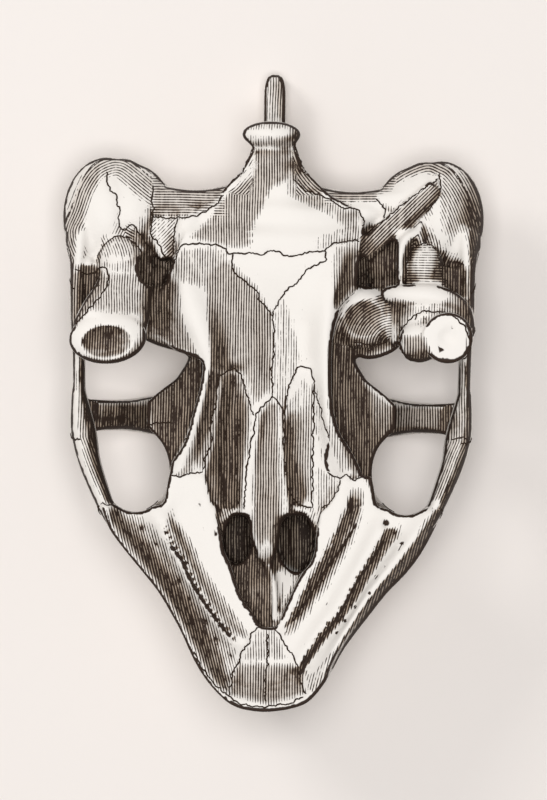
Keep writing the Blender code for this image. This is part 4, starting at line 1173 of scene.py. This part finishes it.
# %% Patches of the ears
SHADE_PATCHES += [
    # Left ear
    (0.60, [(-50.5, 29.6), (-44, 30), (-41, 28), (-41.5, 25.5), (-44, 22), (-47, 18.5), (-50.3, 14)]),
    (0.40, [(-41.2, 29), (-33.6, 29), (-30, 24), (-30.5, 16), (-33, 19), (-38, 19), (-44, 19.5), (-45, 21)]),
    (0.30, [(-42.6, 31), (-41.6, 35.6), (-38.4, 38.4), (-35, 37.6), (-33.4, 33), (-35, 29), (-41, 30)]),
    (0.46, [(-33.4, 27), (-33.4, 34), (-35.4, 37.6), (-37.4, 39.6), (-35, 40.6), (-31, 37), (-28, 33),
        (-28, 27)]),
    (0.24, [(-30, 42.6), (-24.6, 42.8), (-25, 34), (-26.6, 33)]),
    (0.50, [(-30.3, 51.5), (-30.3, 43.3), (-22, 43.3), (-16, 45.5), (-12, 50), (-13, 52.3), (-22, 50.2)]),
    (0.50, [(-53.5, 38), (-51, 30), (-46, 29.4), (-47.6, 34), (-47.8, 40), (-46.4, 46), (-43.4, 53),
        (-43, 58.5), (-48.6, 53), (-51.6, 45)]),
    (0.36, [(-43.6, 53), (-40, 54), (-35, 49), (-31, 46.6), (-29, 51), (-36, 58.4), (-44, 58)]),
    (0.36, [(-48, 12), (-44, 16), (-37, 16), (-34.5, 12), (-37, 8.5), (-45, 7.4)]),
    # Right ear
    (0.34, [(42, 56), (41.8, 45), (42.5, 33), (50, 31), (52.8, 36), (50.6, 46), (47, 54)]),
    (0.50, [(46, 54.6), (43, 57.4), (39, 58.6), (33, 57), (29, 54), (25.6, 50.6), (28, 50), (33, 54),
        (38, 55.4), (44, 54)]),
    (0.56, [(23.5, 33), (22.3, 39), (28.5, 43.6), (33, 47.6), (41, 53.5), (41.5, 49.5), (37, 45),
        (33.5, 40.8), (30, 39)]),
    (0.44, [(23, 33), (28, 37.5), (31, 39.5), (31.2, 36), (31.2, 28), (28, 27), (22, 26), (21.8, 30)]),
    (0.30, [(33.5, 28), (34.5, 35), (38, 37), (41.5, 33), (42, 28)]),
    (0.46, [(42, 27), (42.6, 32), (50, 31.4), (50, 15), (48, 17), (46, 24)]),
    (0.34, [(38, 24.6), (44, 21), (49, 15), (49, 20), (45, 26), (41, 28)]),
    (0.30, [(16, 14), (16, 18), (20, 23.4), (24, 24), (28, 20), (27, 14), (20, 12)]),
    (0.46, [(20, 12), (20.6, 10), (24, 9), (28, 10.2), (31, 12.4), (29, 13), (24, 11.6)]),
    (0.56, [(32.4, 14), (33, 8.5), (41.6, 8), (40, 11), (37, 14.6)]),
    (0.42, [(30, 24), (35.5, 23), (35, 19.5), (32, 15), (30, 17)]),
]
print(len(SHADE_PATCHES), "patches with the ears")

# %% Patches of the walls, bars and arches
SHADE_PATCHES += [
    # Side walls, bars and arches
    (0.74, [(-17.4, 7), (-21, 6.4), (-24, 2.5), (-31.5, -3), (-29, -12.5), (-25.4, -20), (-24.6, -19),
        (-21, -12), (-19, -5), (-17.6, 2)]),
    (0.78, [(15.4, 13), (19.6, 9), (20.6, 6), (25, 0), (29, -3.5), (28, -12), (25, -15), (25.4, -24),
        (22.6, -20), (21.6, -15), (17.4, -11), (15.4, -4)]),
    (0.52, [(-28, -3.2), (-47, -3.4), (-47.6, -8), (-43, -12.6), (-39, -9.8), (-34, -9.8), (-28, -12)]),
    (0.62, [(28, -3.2), (46, -3.6), (47.6, -8), (43, -12.6), (39, -10.4), (34, -10), (28, -12)]),
    (0.44, [(-46.8, 6), (-45.4, 5), (-46.8, 0), (-46, -8), (-42.4, -13), (-42.6, -20), (-38.4, -28.6),
        (-41.6, -28), (-46, -19), (-48, -10), (-49, 5)]),
    (0.44, [(45.6, 7), (49.6, 8), (49, -3), (48, -10), (46, -19), (43.4, -27.4), (40.6, -26.4), (42.6, -18),
        (42.6, -12), (46.6, -4)]),
]
print(len(SHADE_PATCHES), "patches in all")

# %% Paler places, painted light
LIT_PLACES = [
    (0.55, [(14.4, 13), (14.6, 19), (17, 23), (20.4, 26), (25.4, 26.4), (27.4, 24.6), (23, 23.8),
        (19.6, 21.6), (17, 18.4), (16, 14)]),
    (0.35, [(28, 27.4), (28.4, 24.4), (36, 22.8), (42, 22.4), (45, 24), (41, 27.6)]),
    (0.60, [(-49.4, 31), (-49.4, 38), (-44, 41), (-43.4, 35), (-44.6, 31.6)]),
    (0.40, [(41.6, 33), (42.2, 40), (48, 40), (48.6, 33)]),
    (0.30, [(-4.6, 42), (-4.4, 36), (9, 36), (9.4, 41), (14, 43), (8, 46), (3, 49), (0, 50.6), (-1.6, 47)]),
    (0.35, [(41, 7.6), (38.6, 12), (39, 17), (43, 19.6), (48, 18), (49, 12), (46, 8)]),
    (0.30, [(-16.8, 24), (-21.6, 24), (-22, 16), (-18, 9), (-17.4, 0), (-18.6, -6), (-20.6, -12),
        (-18.8, -12), (-16.4, -2), (-15.6, 8)]),
    (0.35, [(30, 41), (36, 40.6), (33.4, 36.6), (33.2, 30), (31, 30), (31, 36.6)]),
    (0.32, [(-34, 36), (-29.4, 35), (-27, 32), (-28, 29), (-33, 28.4)]),
    (0.30, [(-18, -3), (-20.4, -8), (-23, -14), (-25, -19.6), (-19.4, -19), (-18.6, -12), (-17.6, -6)]),
    (0.60, [(1.2, -45), (3.4, -45), (3.2, -50), (2.4, -55), (1.2, -58.6), (0.9, -50)]),
    (0.35, [(3.4, -44), (8, -44), (6, -49), (2.6, -57), (3, -50)]),
    (0.45, [(-6, 60.8), (6, 60.8), (6, 63), (-6, 63)]),
    (0.90, [(21.6, 44.6), (22.2, 39.6), (26, 42.5), (29, 44.6), (27, 46)]),
    (0.50, [(36.5, -35), (31.6, -37), (28.8, -41), (25.4, -46), (22, -51.5), (18, -57), (13.4, -63),
        (9.4, -69), (10.6, -70), (15, -65), (18.8, -60), (22, -55), (25.8, -50), (30, -45), (33.4, -40)]),
]
print(len(LIT_PLACES), "cleaner places")

# %% Lay the patches on the skin
SOFT_EDGE = 1.4               # width of a patch's edge, in mm
LIFT_OUT = 0.45               # how much less hollow a place of painted light counts


def patch_strength(plan, outline):
    """1 well inside an outline, 0 outside, with a soft edge between."""
    ring = np.array(outline + outline[:1], float)
    inside = np.zeros(len(plan), bool)
    gap = np.full(len(plan), 99.0)
    for a, b in zip(ring, ring[1:]):
        crosses = (plan[:, 1] < a[1]) != (plan[:, 1] < b[1])
        rise = b[1] - a[1] if b[1] != a[1] else 1e-9
        inside ^= crosses & (plan[:, 0] < a[0] + (plan[:, 1] - a[1]) * (b[0] - a[0]) / rise)
        gap = np.minimum(gap, np.hypot(*off_stretch(plan, a, b)[0].T))
    return np.clip(0.5 + np.where(inside, gap, -gap) / SOFT_EDGE, 0, 1)


def strongest(patches):
    """The greatest strength that any of the patches has at each point."""
    result = np.zeros(len(plan))
    for strength, outline in patches:
        result = np.maximum(result, strength * patch_strength(plan, outline))
    return result


# Painted light: paler places take darkness out of the hollows and the patches
painted_light = strongest(LIT_PLACES)
keep_value("hollow", hollow - LIFT_OUT * painted_light)
# Painted shade from the patches, less the painted light, on what faces up
keep_value("shade_patch", (strongest(SHADE_PATCHES) - painted_light) * np.clip((normals[:, 2] - 0.02) / 0.16, 0, 1))

# %% [markdown]
# ## Directions of the grain
# Fine lines run through the bone: lengthwise in the palate, along the biting rims in the jaws, round the
# lobes behind the ears, and across the bars behind the ears. Each direction is a measure in millimetres
# across the lines, and a share tells where it holds.

# %% Lines along the jaws and the arches
def share_between(value, low, high):
    """Runs from 0 at low to 1 at high."""
    t = np.clip((value - low) / (high - low), 0, 1)
    return t * t * (3 - 2 * t)


JAW_SLANT = 0.27              # how far the jaws' lines lean towards the snout, per mm of length
ARCH_SLANT = 0.4
NOSE = [(-12.6, -34), (-8, -29.4), (0, -29), (6, -29.4), (11.8, -33.5), (9.6, -42), (6, -50), (2, -58),
        (-3, -58), (-8, -50), (-10.5, -42)]
outward = np.abs(plan_x)
arch = share_between(outward, 36, 37) * (plan_y > -29)
lean = np.where(arch > 0.5, ARCH_SLANT * np.minimum(plan_y + 12, 0), JAW_SLANT * plan_y)
keep_value("slant", outward - lean)
front_bone = 3 + (-58 - plan_y).clip(0, 20) * 0.42
jaw = share_between(-plan_y, 27, 31) * share_between(outward, front_bone, front_bone + 0.8)
jaw *= 1 - patch_strength(plan, NOSE)
keep_value("slant_share", np.maximum(jaw, arch * share_between(-plan_y, 5, 9)))

# %% Outlines round the ears and the neck
LOBE_LEFT = [(-50.3, 31), (-52.7, 37), (-52.5, 41), (-50.7, 45), (-48.7, 51), (-45.5, 56), (-41, 58.4),
             (-37, 58), (-33, 55), (-28.5, 51.5)]
LOBE_RIGHT = [(50.8, 29), (52.8, 34), (52.5, 37.5), (51.5, 42), (48.5, 50), (45, 55.5), (42, 57.5),
              (38.5, 58.5), (34, 57), (29, 54), (26, 51)]
NECK_LEFT = [(-18, 50.3), (-12.5, 52.3), (-10, 55), (-8, 57.5), (-6, 61.5)]
NECK_RIGHT = [(5.2, 61.5), (7.5, 56), (11, 52), (14, 50.5), (18, 50)]
STRUT = [(22, 33), (21.5, 39), (28.5, 44.2), (33, 48.2), (41, 54.5), (42, 50), (37.5, 44.5), (33.5, 40.2),
         (30, 38.4)]
PANEL = [(-31, 43), (-24, 43), (-24.6, 33), (-26.6, 31.5), (-29, 36), (-31, 39)]
DISH = [(15, 12), (15, 20), (20, 25), (26, 26), (30, 21), (30, 14), (25, 11)]
TONGUE = [(33.2, 27), (33.6, 33), (35, 36.3), (38, 37.6), (41, 36), (42.2, 32), (42.5, 27)]
print("outlines of the lobes:", len(LOBE_LEFT), "and", len(LOBE_RIGHT), "points")

# %% Lines round the lobes, the neck and the dish
DIAGONAL = 0.707              # cosine of 45 degrees


def away_from(one, other, reach):
    """Distance of each point to the nearer of two lines."""
    return np.minimum(near_line(plan, one, reach)[0], near_line(plan, other, reach)[0])


slanted = (patch_strength(plan, STRUT) > 0.5) | (patch_strength(plan, PANEL) > 0.5)
dished = patch_strength(plan, DISH) > 0.5
flank = (plan_y > 48.6 + 0.06 * outward) & (plan_y < 61.6)
flank &= (outward > 4.4 + 0.1 * (61 - plan_y)) & (outward < 14)
lobe_away = np.where(flank, away_from(NECK_LEFT, NECK_RIGHT, 30), away_from(LOBE_LEFT, LOBE_RIGHT, 40))
lobe_away = np.where(slanted, (plan_y - plan_x) * DIAGONAL, lobe_away)
lobe_away = np.where(dished, np.hypot(plan_x - 30, plan_y - 12), lobe_away)
keep_value("lobe_away", lobe_away)
lobe = share_between(outward, 34, 36) * share_between(plan_y, 31, 34)
top_side = share_between(outward, 29, 31) * share_between(plan_y, 45, 47)
keep_value("lobe_share", np.maximum(np.maximum(lobe, top_side), slanted | dished | flank))

# %% Lines across the back bars and the tongue
on_left = plan_x < 0
back_bar = share_between(-np.abs(outward - 21.5), -9.4, -8.6)
back_bar *= share_between(plan_y, np.where(on_left, 43, 46.6), np.where(on_left, 44.5, 48))
keep_value("bar_share", np.maximum(back_bar, patch_strength(plan, TONGUE)))

# %% [markdown]
# ## Edges of the forms
# Painted dark lines also run along the edges where one form stands before another or before the open air:
# outlines, and painted shade where the bone turns away. A grid of rays from above finds the places where the
# skin drops away from one ray to the next. Each point of the skin then keeps its distance to the nearest
# edge,
# counted in widths of the line: the line is thin on edges that drop towards the light and heavy on those
# that drop away from it.

# %% Heights from above
GRID = 0.36                   # distance of the rays, in mm
GRID_WIDE, GRID_LONG = 54, 81     # the grid reaches a little past the skull
OPEN_AIR = -5.0               # height where there is no skin


def heights_from_above():
    """Height of the skin on a grid in plan."""
    columns = np.arange(-GRID_WIDE, GRID_WIDE + 0.01, GRID)
    rows = np.arange(-GRID_LONG, GRID_LONG + 0.01, GRID)
    heights = np.full((len(rows), len(columns)), OPEN_AIR)
    down = Vector((0, 0, -1))
    for j, y in enumerate(rows):
        for i, x in enumerate(columns):
            hit = skin_tree.ray_cast(Vector((x * MM, y * MM, START * MM)), down)[0]
            if hit is not None:
                heights[j, i] = hit.z / MM
    return columns, rows, heights


columns, rows, heights = heights_from_above()
print("grid of", heights.shape, "rays, highest skin", round(float(heights.max()), 1), "mm")

# %% Find the edges
DROP = 2.4                    # a fall that counts as an edge
THIN_LINE, HEAVY_LINE = 0.50, 0.80
FLATTEN = 0.15                # what a millimetre of height counts in the search for the nearest edge
NOT_OWN = 6                   # added to the distance where the edge belongs to another form


def edge_lines():
    """A finder of the edge points, and the width of the line at each."""
    falls = np.zeros(heights.shape + (2,))
    deepest = np.zeros(heights.shape)
    for step_x, step_y in ((1, 0), (-1, 0), (0, 1), (0, -1)):
        fall = heights - np.roll(heights, (-step_y, -step_x), axis=(0, 1))
        falls += np.array((step_x, step_y)) * (fall > DROP)[..., None]
        deepest = np.maximum(deepest, fall)
    edges = np.argwhere(deepest > DROP)
    finder = KDTree(len(edges))
    widths = np.zeros(len(edges))
    for k, (j, i) in enumerate(edges):
        away = falls[j, i] / max(np.hypot(*falls[j, i]), 1e-6)
        shaded = max(0.0, (away[0] - away[1]) * DIAGONAL)
        widths[k] = THIN_LINE + (HEAVY_LINE - THIN_LINE) * shaded
        finder.insert((columns[i], rows[j], FLATTEN * heights[j, i]), k)
    finder.balance()
    print(len(edges), "edge points")
    return finder, widths


def edge_distance():
    """Plan distance of each point to the nearest edge, in widths of that edge's line."""
    finder, widths = edge_lines()
    distance = np.zeros(len(plan))
    for k, (x, y, z) in enumerate(place_of):
        near, edge = finder.find((x, y, FLATTEN * z))[:2]
        below = near[2] / FLATTEN - z
        distance[k] = math.hypot(near[0] - x, near[1] - y) / widths[edge]
        distance[k] += NOT_OWN * min(max(below - 1.5, 0), 1)
    return distance + NOT_OWN * share_between(-normals[:, 2], -0.16, -0.08)


keep_value("edge", np.minimum(edge_distance(), 20))

# %% [markdown]
# ## Finish of the bone
# The finish is pale ivory, and brown comes in as strokes along the grain. The strokes are thin on bare bone
# and merge to solid brown where shade is painted: in the hollows, where it stands for stain as well, on
# slopes that turn away from the light to the right and down, and in the patches of painted shade. That is
# how the eye reads both old bone and a picture of it. The nodes read the values that are kept on the skin,
# so no picture is needed.

# %% Node helpers
bone, shader = new_finish("bone_finish", 0.25)
nodes, links = bone.node_tree.nodes, bone.node_tree.links
place_node = nodes.new("ShaderNodeTexCoord")


def add_math(kind, a, b=None):
    """A maths node whose inputs are sockets or numbers."""
    node = nodes.new("ShaderNodeMath")
    node.operation = kind
    for socket, value in zip(node.inputs, (a, b)):
        if value is None:
            continue
        if isinstance(value, (int, float)):
            socket.default_value = value
        else:
            links.new(value, socket)
    return node.outputs[0]


def times(one, other):
    """Product of two sockets or numbers."""
    return add_math("MULTIPLY", one, other)


def add_all(*terms):
    """Sum of sockets and numbers."""
    total = terms[0]
    for term in terms[1:]:
        total = add_math("ADD", total, term)
    return total


def mix_value(share, one, two):
    """Mixes two numbers by a share."""
    return add_all(one, times(share, add_math("SUBTRACT", two, one)))


def swing(value, amount):
    """Turns a value between 0 and 1 into one that swings to both sides of 0."""
    return times(add_math("SUBTRACT", value, 0.5), amount)

# %% Noise, steps, colours and values
def add_noise(scale, detail=3.0, roughness=0.5, where=None):
    """Noise in the bone's own coordinates, or in others."""
    node = nodes.new("ShaderNodeTexNoise")
    node.inputs["Scale"].default_value = scale
    node.inputs["Detail"].default_value = detail
    node.inputs["Roughness"].default_value = roughness
    links.new(where or place_node.outputs["Object"], node.inputs["Vector"])
    return node.outputs["Fac"]


def mix_colour(share, one, two):
    """Mixes two colours (sockets or values) by a share."""
    node = nodes.new("ShaderNodeMix")
    node.data_type = "RGBA"
    links.new(share, node.inputs["Factor"])
    for socket, value in ((node.inputs[6], one), (node.inputs[7], two)):
        if isinstance(value, tuple):
            socket.default_value = value
        else:
            links.new(value, socket)
    return node.outputs[2]


def smooth_step(value, low, high):
    """Runs from 0 at low to 1 at high."""
    node = nodes.new("ShaderNodeMapRange")
    node.interpolation_type = "SMOOTHSTEP"
    links.new(value, node.inputs["Value"])
    node.inputs["From Min"].default_value = low
    node.inputs["From Max"].default_value = high
    return node.outputs["Result"]


def skin_value(name):
    """Reads a number that is kept on the skin."""
    node = nodes.new("ShaderNodeAttribute")
    node.attribute_name = name
    return node.outputs["Fac"]

# %% Strokes
STROKE_PITCH = 0.66           # distance between the strokes, in mm
WOBBLE = 0.9                  # width of the band in which a stroke strays, in mm
STEEP = 0.22, 0.10            # upward shares of the normal between which the strokes of the walls take over

axes = nodes.new("ShaderNodeSeparateXYZ")
links.new(place_node.outputs["Object"], axes.inputs["Vector"])
wobble = swing(add_noise(70.0, 1.0), WOBBLE)


def strokes_across(millimetres):
    """Waves from 0 to 1 across the strokes."""
    wave = add_math("SINE", times(add_all(millimetres, wobble), 2 * math.pi / STROKE_PITCH))
    return add_all(times(wave, 0.5), 0.5)


x_lines, y_lines, z_lines = [strokes_across(times(axes.outputs[axis], 1000.0)) for axis in "XYZ"]
strokes = mix_value(skin_value("slant_share"), x_lines, strokes_across(skin_value("slant")))
strokes = mix_value(skin_value("lobe_share"), strokes, strokes_across(skin_value("lobe_away")))
strokes = mix_value(skin_value("bar_share"), strokes, y_lines)
facing = nodes.new("ShaderNodeNewGeometry")
turn = nodes.new("ShaderNodeSeparateXYZ")
links.new(facing.outputs["Normal"], turn.inputs["Vector"])
steep = smooth_step(add_math("ABSOLUTE", turn.outputs["Z"]), *STEEP)
strokes = mix_value(steep, strokes, z_lines)
print("strokes", STROKE_PITCH, "mm apart")

# %% How dark
LIT_FROM = (-0.55, 0.50, 0.67)    # x, y and z of the way to the light
BY_SHADE = 0.75               # darkness of what turns away from the light
ON_WALLS = 0.12               # share of it that steep walls keep
BY_DEPTH = 0.95               # darkness of the deepest hollows
BY_WALLS = 0.55               # and what walls inside the hollows have besides
CLOUDS = 0.24                 # how far broad stains swing it
DARKEST = 0.88                # keeps a little bone between the strokes of the darkest places

# Painted shade on slopes that turn away from the light
lit = add_all(*[times(turn.outputs[axis], share) for axis, share in zip("XYZ", LIT_FROM)])
turned_away = times(smooth_step(lit, 0.62, -0.15), BY_SHADE)
upward = smooth_step(turn.outputs["Z"], 0.04, 0.34)
turned_away = times(turned_away, add_math("MAXIMUM", upward, ON_WALLS))
hidden = skin_value("hollow")
# Brown in the hollows, partly stain and partly painted shade; the walls inside them get more painted shade
deep = times(smooth_step(hidden, 0.10, 0.62), BY_DEPTH)
shut_in = times(smooth_step(hidden, 0.14, 0.40), smooth_step(turn.outputs["Z"], 0.34, 0.10))
broad = swing(add_noise(45.0, 3.0), CLOUDS)
# The darkness is painted shade of slopes, hollows and patches, with stain in the hollows and broad random
# stains
dark = add_all(turned_away, deep, times(shut_in, BY_WALLS), skin_value("shade_patch"), broad)
dark = add_math("MINIMUM", dark, DARKEST)
print("nodes up to the darkness:", len(nodes))

# %% Ink
LONG_WAYS = (1.0, 0.10, 0.35)     # draws the streaks out along y, and a little along z
STREAKS, SPECKS = 1.1, 0.7    # how much each roughens the strokes
WIDER, THINNER = 1.12, -0.07  # the strokes' width grows with the darkness, from a little under none
BARE = 0.25                   # thins them out once more where the bone has all but no painted shade or stain
EDGE_ROUGH = 0.5              # how much the ink lines of the edges are roughened

long_ways = nodes.new("ShaderNodeMapping")
long_ways.inputs["Scale"].default_value = LONG_WAYS
links.new(place_node.outputs["Object"], long_ways.inputs["Vector"])
streaks = swing(add_noise(1300.0, 2.0, where=long_ways.outputs["Vector"]), STREAKS)
speckle = add_all(swing(add_noise(900.0, 2.0, 0.6), SPECKS), streaks)
cover = add_all(times(dark, WIDER), THINNER)
cover = add_math("SUBTRACT", cover, times(smooth_step(dark, 0.15, 0.03), BARE))
edge = add_all(skin_value("edge"), times(speckle, EDGE_ROUGH))
ink = smooth_step(add_all(strokes, speckle, cover), 0.93, 1.13)
# Painted shade fills the pits and painted shadow lines the ridges
ink = add_math("MAXIMUM", ink, smooth_step(skin_value("pit_ridge_shade"), 0.35, 0.6))
# The deepest hollows are painted solid brown, as painted shade
ink = add_math("MAXIMUM", ink, smooth_step(hidden, 0.80, 0.95))
# Painted outlines along the edges, heavier where they stand for painted shade
ink = add_math("MAXIMUM", ink, smooth_step(edge, 1.15, 0.85))
print("nodes up to the ink:", len(nodes))

# %% Colours
IVORY = (0.81, 0.775, 0.735, 1)
TAN = (0.42, 0.33, 0.25, 1)
UMBER = (0.030, 0.017, 0.011, 1)
BONE_ROUGHNESS, INK_DULLS = 0.58, 0.15
GRAIN_HEIGHT, GRAIN_STRENGTH = 0.0002, 0.35       # of the finest relief, its height in metres
INK_SINKS = -0.5              # ink lies lower than bone, in that relief

# Tan and umber stand for stain and for painted shade alike
base = mix_colour(smooth_step(dark, 0.20, 0.95), IVORY, TAN)
base = mix_colour(ink, base, UMBER)
links.new(base, shader.inputs["Base Color"])
links.new(add_all(times(ink, INK_DULLS), BONE_ROUGHNESS), shader.inputs["Roughness"])
bump = nodes.new("ShaderNodeBump")
bump.inputs["Distance"].default_value = GRAIN_HEIGHT
bump.inputs["Strength"].default_value = GRAIN_STRENGTH
links.new(add_all(times(ink, INK_SINKS), add_noise(900.0, 3.0, 0.6)), bump.inputs["Height"])
links.new(bump.outputs["Normal"], shader.inputs["Normal"])
skull.data.materials.clear()
skull.data.materials.append(bone)
skull.data.shade_smooth()
print("finish of the bone:", len(nodes), "nodes")

# %% Stain of the threads
DIRT = (0.020, 0.012, 0.008, 1)
DRY_DIRT = (0.050, 0.031, 0.020, 1)
thread_finish, shader = new_finish("suture_stain", 0.1)
nodes, links = thread_finish.node_tree.nodes, thread_finish.node_tree.links
place_node = nodes.new("ShaderNodeTexCoord")
links.new(mix_colour(add_noise(600.0, 3.0), DIRT, DRY_DIRT), shader.inputs["Base Color"])
shader.inputs["Roughness"].default_value = 0.85
sutures.data.materials.append(thread_finish)
sutures.data.shade_smooth()
print("stain of the threads:", len(nodes), "nodes")

# %% [markdown]
# ## Into the frame
# The fine bone stands for the coarse solid, the threads lie on it, and both move with the only body.

# %% Ride
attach(skull, "root")
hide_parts("cranium")
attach(sutures, "root")
print("two pieces on one body:", skull.name, "and", sutures.name)
